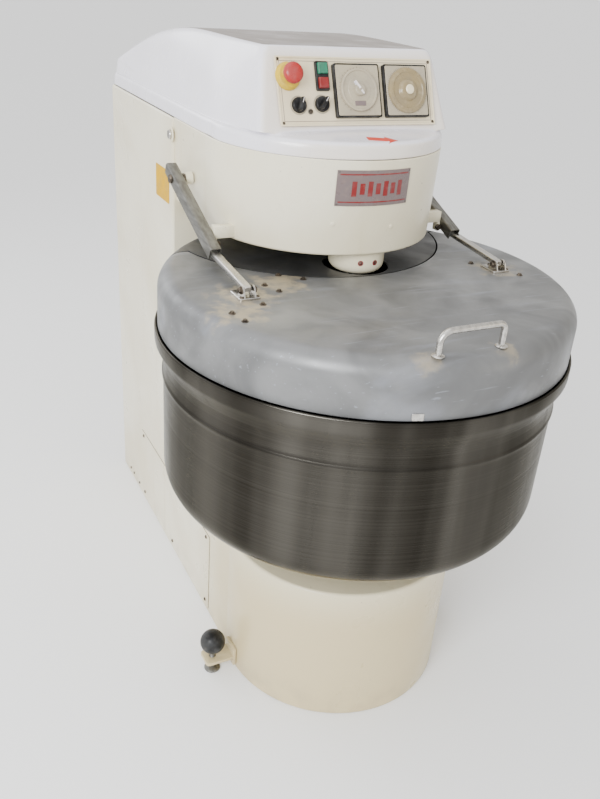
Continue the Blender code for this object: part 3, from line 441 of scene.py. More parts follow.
# ---------------------------------------------------------------- mesh tools
def arc(centre, radius, start, end, steps):
    """Points of an arc in the plane; the angles are in degrees."""
    turn = [radians(start + (end - start) * i / steps) for i in range(steps + 1)]
    return [(centre[0] + radius * cos(a), centre[1] + radius * sin(a)) for a in turn]


def skin(bm, rings, closed=False, caps=True):
    """Join rings of vertices of equal length by faces."""
    count = len(rings[0])
    for low, high in zip(rings, rings[1:] + (rings[:1] if closed else [])):
        for i in range(count):
            j = (i + 1) % count
            bm.faces.new((low[i], low[j], high[j], high[i]))
    if caps and not closed:
        bm.faces.new(rings[0])
        bm.faces.new(rings[-1])


def loft(levels, bm=None, at=Matrix()):
    """A solid through outlines of equal length; a level is (outline, z)."""
    bm = bm or bmesh.new()
    skin(bm, [[bm.verts.new(at @ Vector((x, y, z))) for x, y in outline] for outline, z in levels])
    return bm


def lathe(profile, segments, bm=None, at=Matrix()):
    """Turn a closed profile of (radius, z) about Z; a radius of 0 is a pole."""
    bm = bm or bmesh.new()
    turns = [2 * pi * i / segments for i in range(segments)]
    rings = []
    for radius, z in profile:
        rings.append([bm.verts.new(at @ Vector((radius * cos(a), radius * sin(a), z)))
                      for a in (turns if radius else turns[:1])])
    for low, high in zip(rings, rings[1:] + rings[:1]):
        if len(low) == 1 and len(high) == 1:
            continue
        for i in range(segments):
            j = (i + 1) % segments
            corners = low[i % len(low)], low[j % len(low)], high[j % len(high)], high[i % len(high)]
            bm.faces.new(list(dict.fromkeys(corners)))
    return bm


def rod(radius, low, high, segments=32, bm=None, at=Matrix()):
    """A plain round bar along Z."""
    return lathe([(0, low), (radius, low), (radius, high), (0, high)], segments, bm, at)


def hexagon(levels, bm=None, at=Matrix()):
    """A six-sided solid; a level is (circumscribed radius, z)."""
    return loft([(arc((0, 0), radius, 0, 300, 5), z) for radius, z in levels], bm, at)


def block(low, high, bm=None, at=Matrix()):
    """A box between two corners."""
    outline = [(low[0], low[1]), (high[0], low[1]), (high[0], high[1]), (low[0], high[1])]
    return loft([(outline, low[2]), (outline, high[2])], bm, at)


def rounded_rect(half_x, half_y, radius, steps=5):
    """Outline of a rectangle with round corners."""
    points = []
    for x, y, start in ((1, 1, 0), (-1, 1, 90), (-1, -1, 180), (1, -1, 270)):
        points += arc((x * (half_x - radius), y * (half_y - radius)), radius, start, start + 90, steps)
    return points


def pad(half_x, half_y, radius, z0, z1, edge, at):
    """A plate with round corners and a softened upper edge."""
    full = rounded_rect(half_x, half_y, radius)
    top = rounded_rect(half_x - edge, half_y - edge, max(radius - edge, edge))
    return loft([(full, z0), (full, z1 - edge), (top, z1)], at=at)


def tube(path, radius, sides, bm=None):
    """A round bar along a list of points."""
    bm = bm or bmesh.new()
    across = Vector((0, 1, 0))
    rings = []
    for i, point in enumerate(path):
        along = (path[min(i + 1, len(path) - 1)] - path[max(i - 1, 0)]).normalized()
        across = (across - along * across.dot(along)).normalized()
        other = along.cross(across)
        rings.append([bm.verts.new(point + (across * cos(2 * pi * k / sides)
                                            + other * sin(2 * pi * k / sides)) * radius)
                      for k in range(sides)])
    skin(bm, rings)
    return bm


def shift(x, y, z=0.0):
    return Matrix.Translation((x, y, z))


def spin(angle, axis="Z"):
    """Turn by an angle in degrees."""
    return Matrix.Rotation(radians(angle), 4, axis)


def facing(place, direction):
    """Matrix whose Z points along a direction, at a place."""
    turn = Vector(direction).to_track_quat("Z", "Y").to_matrix().to_4x4()
    return Matrix.Translation(place) @ turn


def link(name, data):
    """Put an object with this data into the scene."""
    obj = bpy.data.objects.new(name, data)
    bpy.context.collection.objects.link(obj)
    return obj


def to_object(name, bm):
    bmesh.ops.recalc_face_normals(bm, faces=bm.faces)
    mesh = bpy.data.meshes.new(name)
    bm.to_mesh(mesh)
    bm.free()
    return link(name, mesh)


def apply_modifiers(obj):
    """Keep the mesh that the modifiers give, and drop the modifiers."""
    shaped = obj.evaluated_get(bpy.context.evaluated_depsgraph_get())
    mesh = bpy.data.meshes.new_from_object(shaped)
    obj.modifiers.clear()
    obj.data = mesh


def cut(obj, *cutters, operation="DIFFERENCE"):
    """Cut meshes or objects out of an object, or join them to it."""
    for cutter in cutters:
        tool = to_object("tool", cutter) if isinstance(cutter, bmesh.types.BMesh) else cutter
        step = obj.modifiers.new("cut", "BOOLEAN")
        step.operation = operation
        step.object = tool
        apply_modifiers(obj)
        bpy.data.objects.remove(tool)


def soften(obj, width, segments):
    """Round the edges that are sharper than 35 degrees."""
    step = obj.modifiers.new("edge", "BEVEL")
    step.width = width
    step.segments = segments
    step.limit_method = "ANGLE"
    step.angle_limit = radians(35)
    apply_modifiers(obj)


def piece(name, source, look, body="frame", replaces=(), edge=0.0, segments=2, slot=None,
          sharp=32, flat=False):
    """Finish a bmesh or object: soft edges, shading, material and body."""
    obj = source if isinstance(source, bpy.types.Object) else to_object(name, source)
    obj.name = name
    if edge:
        soften(obj, edge, segments)
    if flat:
        obj.modifiers.new("normals", "WEIGHTED_NORMAL").keep_sharp = True
    obj.data.shade_smooth()
    obj.data.set_sharp_from_angle(angle=radians(sharp))
    if flat:
        apply_modifiers(obj)
    obj.data.materials.clear()
    obj.data.materials.append(LOOKS[look])
    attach(obj, body)
    if replaces:
        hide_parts(*replaces)
    return obj


def socket_screw(radius, height, bm, at):
    """Domed screw head with a recess."""
    profile = [(0, height * 0.45), (radius * 0.42, height * 0.45), (radius * 0.48, height),
               (radius * 0.72, height * 0.96), (radius * 0.93, height * 0.62), (radius, 0),
               (0, 0)]
    return lathe(profile, 20, bm, at)


def hex_bolt(size, bm, at, washer):
    """Six-sided head on a washer; size is the head's circumscribed radius, washer a multiple."""
    ring = size * washer
    lathe([(0, 0), (ring, 0), (ring, size * 0.16), (ring * 0.94, size * 0.22), (0, size * 0.22)],
          24, bm, at)
    low, high = size * 0.22, size * 0.98
    return hexagon(((size, low), (size, high * 0.86), (size * 0.88, high)), bm, at)


# ---------------------------------------------------------------- base and column
def u_plan(half, centre_y, radius, rear):
    """Plan of a casing: straight sides from the rear, with a round nose."""
    bulge = degrees(acos(min(1.0, half / radius)))
    return [(half, rear), (-half, rear)] + arc((0, centre_y), radius, 180 - bulge, 360 + bulge, 72)


def stepped(name, inset, low, high):
    """The base's plan up to the seam, with the bowl's space cut out of it."""
    plan = u_plan(COLUMN_HALF - inset, 0, BASE_RADIUS - inset, COLUMN_REAR - inset)
    body = to_object(name, loft([(plan, low), (plan, high)]))
    cut(body, block((-WIDE, -WIDE, BASE_TOP - inset), (WIDE, COLUMN_FRONT + inset, SEAM_Z + 0.1)))
    return body


def passage(y):
    """Cutter for the opening between the column and the drum, in a wall at y."""
    return block((-PASSAGE_HALF, y - 0.02, HEAD_LOW + 0.03), (PASSAGE_HALF, y + 0.02, SEAM_Z - 0.02))


def make_body():
    shell = stepped("casing_shell", 0, 0, SEAM_Z)
    soften(shell, 0.007, 4)
    cut(shell, stepped("inside", 0.004, -0.02, SEAM_Z + 0.02))
    cut(shell, rod(0.060, BASE_TOP - 0.03, BASE_TOP + 0.02, 48), passage(COLUMN_FRONT),
        block((-PASSAGE_HALF, COLUMN_REAR - 0.02, 0.120), (PASSAGE_HALF, COLUMN_REAR + 0.02, 1.150)))
    piece("casing_shell", shell, "cream_paint", replaces=["body_shell"], flat=True)
    frame["nodes"]["base_plate"].data.materials.clear()
    frame["nodes"]["base_plate"].data.materials.append(LOOKS["plain_steel"])


def make_side_panels():
    """Service panels with round corners, held by domed screws, each on a dark sheet that paints the
    shadow in the gap round it.
    """
    for side, word in ((-1, "left"), (1, "right")):
        node = f"side_panel_{word}"
        low, high = LOW[node], HIGH[node]
        middle = middle_of(node)
        half_y, half_z = half_of(node)[1:]
        face = side * (COLUMN_HALF + GAP)
        at = facing((face, middle[1], middle[2]), (side, 0, 0))
        upright = at.to_3x3() @ Vector((0, 1, 0))
        across, up = (half_y, half_z) if abs(upright.z) > 0.5 else (half_z, half_y)
        # a dark sheet a little larger than the panel: painted shadow in the gap round it
        shadow_line = pad(across + 0.0009, up + 0.0009, 0.0065, -GAP, 0.0004, 0.0001, at=at)
        piece(f"panel_shadow_line_{word}", shadow_line, "dark_bolt", slot="cream_paint")
        piece(f"service_panel_{word}", pad(across, up, 0.006, 0, 0.0015, 0.0006, at=at),
              "cream_paint", replaces=[node], flat=True)
        screws = bmesh.new()
        for y in (low[1] + 0.022, middle[1], high[1] - 0.022):
            for z in (low[2] + 0.018, high[2] - 0.012):
                socket_screw(0.0052, 0.0028, screws, facing((face + side * 0.0014, y, z), (side, 0, 0)))
        # the casing's own screws, behind the panel
        for y in (high[1] + 0.045, high[1] + 0.108, high[1] + 0.144):
            place = (face - side * GAP, y, low[2] + 0.012)
            socket_screw(0.0046, 0.0026, screws, facing(place, (side, 0, 0)))
        piece(f"panel_screws_{word}", screws, "dark_bolt", slot="plain_steel")


def make_rear():
    """Rear panel with pressed louvres, its screws, and the entry of the mains lead."""
    low, high = LOW["rear_panel"], HIGH["rear_panel"]
    half_x, half_z = half_of("rear_panel")[::2]
    back = shift(0, low[1], middle_of("rear_panel")[2]) @ spin(-90, "X")
    panel = to_object("back_panel", pad(half_x, half_z, 0.008, 0, 0.002, 0.0007, at=back))
    hoods = bmesh.new()
    slot_half, slot_height, pitch = 0.120, 0.008, 0.022
    lip = [(-0.0005, 0), (0.0045, 0), (0.0060, 0.0015), (0.0050, 0.0062), (0.0015, 0.0100),
           (-0.0005, 0.0110)]
    for row in range(6):
        z = 0.300 + pitch * row
        cut(panel, block((-slot_half, low[1] - 0.01, z), (slot_half, low[1] + 0.01, z + slot_height)))
        skin(hoods, [[hoods.verts.new((x, high[1] + out * scale, z + up)) for out, up in lip]
                     for x, scale in ((-0.128, 0.35), (-0.122, 0.85), (-0.114, 1), (0.114, 1),
                                      (0.122, 0.85), (0.128, 0.35))])
    piece("back_panel", panel, "cream_paint", replaces=["rear_panel"], flat=True)
    piece("back_louvres", hoods, "cream_paint", sharp=50)
    screws = bmesh.new()
    for x in (low[0] + 0.008, high[0] - 0.008):
        for i in range(5):
            z = low[2] + 0.02 + (high[2] - low[2] - 0.04) * i / 4
            socket_screw(0.0050, 0.0028, screws, facing((x, high[1], z), (0, 1, 0)))
    piece("back_screws", screws, "dark_bolt", slot="plain_steel")

    x, z = middle_of("cable_gland")[::2]
    at = facing((x, COLUMN_REAR, z), (0, 1, 0))
    dome = [(0.008, -0.010), (0.0118, -0.010), (0.0118, GAP), (0.0145, GAP), (0.0150, 0.011),
            (0.0142, 0.0125), (0.0142, 0.022), (0.0128, 0.0268), (0.0095, 0.0295), (0.0080, 0.0290)]
    gland = lathe(dome, 40, at=at)
    hexagon(((0.0195, 0.0006), (0.0195, 0.0085), (0.0180, 0.0100)), gland, at)
    piece("lead_gland", gland, "black_plastic", replaces=["cable_gland"])


def make_stickers():
    """A blank yellow sticker on the column."""
    face = -(COLUMN_HALF + GAP)
    at = shift(face, 0.561, 1.088) @ spin(-90, "Y")
    sticker = pad(0.040, 0.052, 0.004, 0, 0.0004, 0.0001, at=at)
    piece("column_sticker", sticker, "sticker_yellow", slot="yellow_plastic")


# ---------------------------------------------------------------- head
def head_plan(radius, rear):
    """Plan of the drum, or of a ring inside it."""
    return u_plan(radius, HEAD_Y, radius, rear)


def drum_radius(z):
    """The tapered drum's radius at a height."""
    return HEAD_RADIUS - HEAD_DRAFT * (SEAM_Z - z) / (SEAM_Z - HEAD_LOW)


def on_drum(radius, angle, z):
    """Matrix at a radius and angle round the drum's axis, with its Z pointing out."""
    return facing((radius * cos(angle), HEAD_Y + radius * sin(angle), z), (cos(angle), sin(angle), 0))


def make_head():
    """Painted drum: slightly tapered, with its lower edge rolled in."""
    rear = COLUMN_FRONT - GAP
    roll = 0.006
    foot = HEAD_RADIUS - HEAD_DRAFT
    levels = [(head_plan(foot - roll + roll * sin(radians(a)), rear - 0.0001 * (90 - a) / 90),
               HEAD_LOW + roll - roll * cos(radians(a))) for a in (0, 22, 45, 67, 90)]
    levels += [(head_plan(HEAD_RADIUS, rear), SEAM_Z - 0.0015),
               (head_plan(HEAD_RADIUS - 0.0012, rear), SEAM_Z)]
    drum = to_object("head_drum", loft(levels))
    inner = 0.004
    cut(drum,
        loft([(head_plan(foot - inner, rear - inner), HEAD_LOW + inner),
              (head_plan(HEAD_RADIUS - inner, rear - inner), SEAM_Z + 0.01)]),
        passage(rear),
        rod(0.046, HEAD_LOW - 0.02, HEAD_LOW + 0.02, 48, at=shift(0, HEAD_Y)))
    piece("head_drum", drum, "cream_paint", replaces=["head_shell"])

    plugs = bmesh.new()
    for x, z in ((-0.092, 1.130), (0.041, 1.120)):
        radius = drum_radius(z)
        lathe([(0, -0.001), (0.0052, -0.001), (0.0052, 0.0006), (0.0040, 0.0012), (0, 0.0014)],
              20, plugs, on_drum(radius, -acos(x / radius), z))
    piece("drum_plugs", plugs, "cream_paint")


def cover_top(y):
    """Height of the cover along its middle: level, then falling in a curve to the rear."""
    start, drop = 0.45, 0.130
    part = max(0.0, (y - start) / (COVER_REAR - start))
    return COVER_TOP - drop * part ** 2.19


def cover_half_outline(level):
    """Left half of the cover's box in plan, from its rear middle to its front middle.

    The level runs from 0 at the box's foot to 1 at its top.
    """
    foot_front = 0.0898
    height = (COVER_TOP - LEDGE_Z) * level
    front = foot_front + height * abs(N.z / N.y)
    half = COVER_HALF - 0.044 * level
    flare = 0.028 - 0.018 * level
    corner = 0.018
    flare_y = 0.350
    rear_corner = 0.030
    widen = 0.008 + 0.038 * level
    points = [(-half * part, COVER_REAR) for part in (0.0, 0.25, 0.5, 0.75)]
    rear_half = half + widen
    points += [(x, y) for x, y in arc((-rear_half + rear_corner, COVER_REAR - rear_corner),
                                      rear_corner, 90, 180, 5)]
    for i in range(1, 9):
        y = COVER_REAR - rear_corner + (flare_y - COVER_REAR + rear_corner) * i / 8
        part = (y - flare_y) / (COVER_REAR - flare_y)
        points.append((-half - widen * part ** 2, y))
    end = front + corner
    for i in range(1, 9):
        y = flare_y + (end - flare_y) * i / 8
        points.append((-half + flare * ((flare_y - y) / (flare_y - end)) ** 2, y))
    side = -half + flare
    points += arc((side + corner, end), corner, 180, 270, 5)[1:]
    for part in (0.75, 0.5, 0.25, 0.0):
        points.append(((side + corner) * part, front))
    return points


def whole(half_points):
    """Mirror a left half outline into a closed one."""
    return half_points + [(-x, y) for x, y in half_points[-2:0:-1]]


def ledge_point(x, y, radius):
    """The point of the round-nosed skirt that lies outside a point of the box's foot."""
    if y >= HEAD_Y:
        return (max(-radius, min(radius, x * radius / COVER_HALF)), y)
    length = hypot(x, y - HEAD_Y)
    return (x * radius / length, HEAD_Y + (y - HEAD_Y) * radius / length)


def frontness(x, y):
    """0 along the cover's sides, rising to 1 at its nose."""
    if y >= HEAD_Y:
        return 0.0
    return (HEAD_Y - y) / hypot(x, y - HEAD_Y)


def ledge_roll(x, y):
    """How far the skirt's rolled upper edge turns in: more at the nose."""
    return 0.006 + 0.010 * frontness(x, y)


def ridge_y(y):
    """The nearest place on the ridge along the cover's top."""
    return max(RIDGE_FRONT, min(RIDGE_REAR, y))


def cover_rings(bm):
    """Rings of the cover from the foot of its skirt to the ridge along its top."""
    foot = whole(cover_half_outline(0.0))
    rings = []

    def ring(points):
        rings.append([bm.verts.new(p) for p in points])

    skirt_z = SEAM_Z + GAP
    upper = SKIRT_RADIUS - 0.0006
    for radius, z in ((SKIRT_RADIUS - 0.0015, skirt_z), (SKIRT_RADIUS + 0.0004, skirt_z + 0.0015),
                      (SKIRT_RADIUS, skirt_z + 0.010), (upper, LEDGE_Z - 0.013)):
        ring([(*ledge_point(x, y, radius), z) for x, y in foot])
    for angle in (25, 50, 75, 90):
        in_part, drop = 1 - cos(radians(angle)), 0.012 * (1 - sin(radians(angle)))
        ring([(*ledge_point(x, y, upper - ledge_roll(x, y) * in_part), LEDGE_Z - drop)
              for x, y in foot])
    for part in (0.45, 0.85, 0.97):
        points = []
        for x, y in foot:
            sx, sy = ledge_point(x, y, upper - ledge_roll(x, y))
            rise = 0.009 * frontness(x, y) * part
            points.append((sx + (x - sx) * part, sy + (y - sy) * part, LEDGE_Z + rise))
        ring(points)
    for level in (0.10, 0.35, 0.65, 0.90):
        ring([(x, y, LEDGE_Z + (cover_top(y) - LEDGE_Z) * level)
              for x, y in whole(cover_half_outline(level))])
    fillet = 0.013
    for angle in (30, 60, 90):
        inset = fillet * (1 - cos(radians(angle)))
        drop = fillet * (1 - sin(radians(angle)))
        points = []
        for x, y in whole(cover_half_outline(1.0)):
            away = y - ridge_y(y)
            part = inset / hypot(x, away)
            points.append((x - x * part, y - away * part, cover_top(y) - drop))
        ring(points)
    inner = [(v.co.x, v.co.y) for v in rings[-1]]
    for part in (0.90, 0.70, 0.45, 0.20, 0.0):
        points = []
        for x, y in inner:
            py = ridge_y(y) + (y - ridge_y(y)) * part
            points.append((x * part, py, cover_top(py)))
        ring(points)
    return rings


def panel_place(u, v, out=0.0):
    """Matrix on the control plate: X to the right, Y up the slope, Z out of it."""
    place = PLATE_ORIGIN + U * u + V * v + N * out
    turn = Matrix((U, V, N)).transposed().to_4x4()
    return Matrix.Translation(place) @ turn


def plate_uv(node):
    """Where a node's own axis, or else its middle, lies on the control plate."""
    middle = Vector(middle_of(node))
    if f"{node}_turn" in JOINTS:
        middle = Vector(JOINTS[f"{node}_turn"]["pos_m"])
    return (middle - PLATE_ORIGIN).dot(U), (middle - PLATE_ORIGIN).dot(V)


def on_plate(node, rise=0.0):
    """Matrix at a node's place on the control plate, at the level where the controls start."""
    return panel_place(*plate_uv(node), PLATE_FACE + GAP + rise)


def lay_arrow(cover):
    """A thin red arrow that follows the ledge."""
    tip, shoulder, tail, half, stem = 0.034, 0.010, -0.030, 0.019, 0.010
    columns = [(tail + (shoulder - tail) * i / 8, stem) for i in range(9)]
    columns += [(shoulder + (tip - shoulder) * i / 6, half * (1 - i / 6) + 0.0004) for i in range(7)]
    skin_of = bvhtree.BVHTree.FromObject(cover, bpy.context.evaluated_depsgraph_get())
    turn = shift(0.012, 0.020) @ spin(-15)
    bm = bmesh.new()
    rings = []
    for along, reach in columns:
        ring = []
        for across, out in ((-1, 0.0006), (0, 0.0007), (1, 0.0006), (1, -0.0006), (-1, -0.0006)):
            place = turn @ Vector((along, across * reach, 0))
            touch = skin_of.ray_cast(Vector((place.x, place.y, 1.6)), Vector((0, 0, -1)))[0]
            ring.append(bm.verts.new(touch + Vector((0, 0, out))))
        rings.append(ring)
    skin(bm, rings)
    piece("ledge_arrow", bm, "sticker_red", slot="red_plastic")


def make_cover():
    """Moulded cover: round-nosed skirt, sloping ledge, and a box with soft edges."""
    bm = bmesh.new()
    skin(bm, cover_rings(bm), caps=False)
    bmesh.ops.remove_doubles(bm, verts=bm.verts, dist=0.0002)
    cover = to_object("cover_moulding", bm)
    smooth = cover.modifiers.new("smooth", "SUBSURF")
    smooth.levels = smooth.render_levels = 2
    wall = cover.modifiers.new("wall", "SOLIDIFY")
    wall.thickness = 0.0035
    apply_modifiers(cover)
    u, v = plate_uv("control_plate")
    half_u, half_v = 0.175, 0.059
    cut(cover, block((-half_u, -half_v, -0.03), (half_u, half_v, 0.012), at=panel_place(u, v)))
    piece("cover_moulding", cover, "white_moulding", replaces=["head_cover"], sharp=40)

    lay_arrow(cover)

    low, high = LOW["casing_catch"], HIGH["casing_catch"]
    y, z = middle_of("casing_catch")[1:]
    at = facing((high[0], y, z), (-1, 0, 0))
    catch = to_object("catch_knob", lathe([(0, 0), (0.0110, 0), (0.0110, 0.0045), (0.0098, 0.0062),
                                           (0.0060, 0.0070), (0, 0.0070)], 36, at=at))
    cut(catch, block((low[0] - 0.01, y - 0.0015, z - 0.0085),
                     (low[0] + 0.0025, y + 0.0015, z + 0.0085)))
    piece("catch_knob", catch, "bright_steel", "casing_catch", ["casing_catch"], slot="plain_steel")
    seat = lathe([(0.0118, 0), (0.0190, 0), (0.0175, 0.0016), (0.0118, 0.0020)], 36,
                 at=facing((-COLUMN_HALF, y, z), (-1, 0, 0)))
    piece("catch_seat", seat, "cream_paint")


def make_badge():
    """Curved plate on the drum with a plain striped pattern."""
    low, high = LOW["badge_plate"][2], HIGH["badge_plate"][2]
    middle_x = middle_of("badge_plate")[0]
    half_width = half_of("badge_plate")[0]

    def bent(x0, x1, z0, z1, inner, outer, bm):
        levels = []
        for z in (z0, z1):
            radius = drum_radius(z)
            start = -90 + degrees((middle_x + x0) / radius)
            end = -90 + degrees((middle_x + x1) / radius)
            steps = max(2, int(28 * (x1 - x0) / half_width))
            front = arc((0, HEAD_Y), radius + outer, start, end, steps)
            rear = arc((0, HEAD_Y), radius + inner, end, start, steps)
            levels.append((front + rear, z))
        return loft(levels, bm)

    plate = bent(-half_width, half_width, low, high, 0.0002, 0.0020, bmesh.new())
    piece("badge_sheet", plate, "badge_face", replaces=["badge_plate"], edge=0.0005, segments=1)
    marks = bmesh.new()
    reach = half_width - 0.006
    for foot in (low + 0.007, high - 0.0095):
        bent(-reach, reach, foot, foot + 0.0025, 0.0018, 0.0024, marks)
    for i in range(7):
        x = -0.052 + 0.0175 * i
        bent(x, x + 0.010, low + 0.020 + 0.004 * (i % 2), high - 0.022 - 0.004 * (i % 2), 0.0018,
             0.0026, marks)
    piece("badge_marks", marks, "mark_red", slot="red_plastic")
    rivets = bmesh.new()
    for x in (-half_width + 0.0035, half_width - 0.0035):
        for z in (low + 0.0035, high - 0.0035):
            radius = drum_radius(z) + 0.0018
            at = on_drum(radius, -pi / 2 + (middle_x + x) / radius, z)
            socket_screw(0.0018, 0.0010, rivets, at)
    piece("badge_rivets", rivets, "plain_steel")


# ---------------------------------------------------------------- control panel
def cut_key_holes(obj, top):
    """Square holes for the two keys."""
    half = 0.0111
    for node in ("start_key", "stop_key"):
        cut(obj, block((-half, -half, -0.01), (half, half, top), at=panel_place(*plate_uv(node))))


def make_plate():
    """Printed plate with a raised frame, a thin inner line and four screws."""
    u, v = plate_uv("control_plate")
    half_u, half_v = half_of("control_plate")[0], 0.067
    at = panel_place(u, v)
    plate = to_object("panel_plate", pad(half_u, half_v, 0.004, GAP, PLATE_FACE, 0.0004, at=at))
    for node, hole in (("emergency_collar", 0.0125), ("selector_left", 0.0055),
                       ("selector_right", 0.0055), ("pilot_lamp", 0.0035)):
        cut(plate, rod(hole, -0.01, 0.01, at=panel_place(*plate_uv(node))))
    cut_key_holes(plate, 0.01)
    piece("panel_plate", plate, "plate_print", replaces=["control_plate"], slot="white_moulding")

    for word, look, inset, width, proud, edge in (
            ("rails", "plate_print", 0.0, 0.0035, 0.0016, 0.0003),
            ("line", "badge_face", 0.0085, 0.0010, 0.0002, 0.0)):
        rim = bmesh.new()
        outer_u, outer_v = half_u - inset, half_v - inset
        inner_u, inner_v = outer_u - width, outer_v - width
        low, high = PLATE_FACE - 0.0002, PLATE_FACE + proud
        for low_corner, high_corner in (((-outer_u, -outer_v), (outer_u, -inner_v)),
                                        ((-outer_u, inner_v), (outer_u, outer_v)),
                                        ((-outer_u, -inner_v), (-inner_u, inner_v)),
                                        ((inner_u, -inner_v), (outer_u, inner_v))):
            block((*low_corner, low), (*high_corner, high), rim, at)
        piece(f"panel_{word}", rim, look, slot="white_moulding", edge=edge, segments=1)

    screws = bmesh.new()
    for du in (-half_u + 0.0060, half_u - 0.0060):
        for dv in (-half_v + 0.0055, half_v - 0.0055):
            socket_screw(0.0036, 0.0020, screws, panel_place(u + du, v + dv, PLATE_FACE))
    piece("panel_plate_screws", screws, "dark_bolt", slot="plain_steel")


def ticks(bm, at, inner, outer, count, width, low, high, sweep=300):
    """Scale marks round a dial."""
    for i in range(count + 1):
        reach = outer if i % 5 == 0 else (inner + outer * 2) / 3
        block((-width / 2, inner, low), (width / 2, reach, high), bm,
              at @ spin(-sweep / 2 + sweep * i / count))


def make_timers():
    """Two square timers: a black case, a pale face and a turning dial."""
    hole, inset = 0.0068, 0.0035
    face = CASE_DEPTH
    for word, inner, outer, count, make_dial in (("left", 0.0008, 0.0045, 30, make_left_dial),
                                                 ("right", 0.0006, 0.0030, 60, make_right_dial)):
        node = f"timer_{word}"
        at = on_plate(node)
        half = half_of(node)[0]
        case = to_object("case", pad(half, half, 0.004, 0, face - 0.0012, 0.0006, at=at))
        cut(case, rod(hole, -0.01, 0.03, at=at))
        piece(f"timer_case_{word}", case, "black_plastic", replaces=[node], slot="grey_plastic")
        front = to_object("front", pad(half - inset, half - inset, 0.003, face - 0.0014, face,
                                       0.0004, at=at))
        cut(front, rod(hole, -0.01, 0.03, at=at))
        piece(f"timer_face_{word}", front, "grey_plastic")
        marks = bmesh.new()
        ring = half_of(f"timer_dial_{word}")[0]
        ticks(marks, at, ring + inner, ring + outer, count, 0.0005, face - 0.0002, face + 0.0002)
        piece(f"timer_scale_{word}", marks, "dark_bolt", slot="black_plastic")
        make_dial(on_plate(node, face + GAP), ring)


def make_left_dial(at, radius):
    """Flat disc with a raised rim, a hand on its hub and a small window."""
    node = "timer_dial_left"
    disc = DIAL_STEM + [
        (radius, 0), (radius, 0.0042), (radius - 0.0012, 0.0056), (radius - 0.0035, 0.0056),
        (radius - 0.0050, 0.0034), (radius * 0.62, 0.0030), (radius * 0.60, 0.0036),
        (0.0125, 0.0036), (0.0115, 0.0085), (0.0100, 0.0100), (0, 0.0104)]
    piece("timer_disc_left", lathe(disc, 72, at=at), "grey_plastic", node, [node])
    hand = bmesh.new()
    for angle, length in ((35, 0.020), (215, 0.011)):
        outline = [(-0.0022, 0.002), (0.0022, 0.002), (0.0010, length), (-0.0010, length)]
        loft([(outline, 0.0034), (outline, 0.0122)], hand, at @ spin(angle))
    piece("timer_hand_left", hand, "white_moulding", node, edge=0.0005, segments=1)
    window = pad(0.0125, 0.0048, 0.001, 0.0028, 0.0042, 0.0004, at=at @ shift(0, -radius * 0.63))
    piece("timer_window_left", window, "badge_face", node)


def make_right_dial(at, radius):
    """Stepped knob with a pale cap, and notches round its rim."""
    node = "timer_dial_right"
    disc = DIAL_STEM + [
        (radius, 0), (radius, 0.0024), (radius - 0.0010, 0.0040), (radius * 0.86, 0.0060),
        (radius * 0.80, 0.0062), (radius * 0.76, 0.0046), (radius * 0.50, 0.0042),
        (radius * 0.46, 0.0060), (radius * 0.40, 0.0100), (radius * 0.34, 0.0112),
        (0.0105, 0.0112), (0.0100, 0.0106), (0, 0.0106)]
    piece("timer_disc_right", lathe(disc, 72, at=at), "knob_beige", node, [node],
          slot="grey_plastic")
    cap = [(0, 0.0100), (0.0098, 0.0100), (0.0098, 0.0122), (0.0080, 0.0138), (0, 0.0140)]
    piece("timer_cap_right", lathe(cap, 40, at=at), "plate_print", node, slot="white_moulding")
    notches = bmesh.new()
    ticks(notches, at, radius * 0.80, radius * 0.93, 24, 0.0008, 0.0036, 0.0064, 345)
    piece("timer_notches_right", notches, "knob_beige", node, slot="grey_plastic")


def make_emergency_stop():
    """Yellow collar and red mushroom with its turn-to-release arrows."""
    collar = [(0.0122, 0), (0.0270, 0), (0.0275, 0.0010), (0.0272, 0.0030), (0.0245, 0.0095),
              (0.0225, 0.0115), (0.0170, 0.0125), (0.0165, 0.0140), (0.0122, 0.0140)]
    piece("stop_collar", lathe(collar, 72, at=on_plate("emergency_collar")), "yellow_plastic",
          replaces=["emergency_collar"])
    node = "emergency_button"
    at = on_plate("emergency_collar", 0.022)
    mushroom = [(0, -0.0446), (0.0113, -0.0446), (0.0113, -0.003), (0.0150, -0.0010), (0.0190, 0),
                (0.0203, 0.0018), (0.0205, 0.0060), (0.0197, 0.0092), (0.0172, 0.0122),
                (0.0130, 0.0143), (0.0070, 0.0153), (0, 0.0155)]
    piece("stop_mushroom", lathe(mushroom, 72, at=at), "red_plastic", node, [node])
    arrows = bmesh.new()
    outline = arc((0, 0), 0.0142, 20, 80, 8) + arc((0, 0), 0.0124, 80, 20, 8)
    for angle in (0, 120, 240):
        loft([(outline, 0.0100), (outline, 0.0139)], arrows, at @ spin(angle))
    piece("stop_arrows", arrows, "mark_red", node, slot="red_plastic", edge=0.0002, segments=1)


def make_keys():
    """Black frame with the green start key above the red stop key."""
    holder = to_object("holder", pad(0.0145, 0.0285, 0.003, 0, 0.006, 0.0010,
                                     at=on_plate("key_frame")))
    cut_key_holes(holder, 0.03)
    piece("key_holder", holder, "black_plastic", replaces=["key_frame"])
    for node, look, slot in (("start_key", "green_plastic", "green_plastic"),
                             ("stop_key", "mark_red", "red_plastic")):
        levels = [(rounded_rect(half, half, radius, 4), z) for half, radius, z in (
            (0.0105, 0.0012, -0.0246), (0.0105, 0.0012, -0.0022), (0.0101, 0.0014, -0.0010),
            (0.0092, 0.0016, -0.0002), (0.0084, 0.0018, 0), (0.0070, 0.0018, -0.0006),
            (0.0030, 0.0010, -0.0010))]
        piece(f"{node}_cap", loft(levels, at=on_plate(node, 0.012)), look, node, [node], slot=slot)


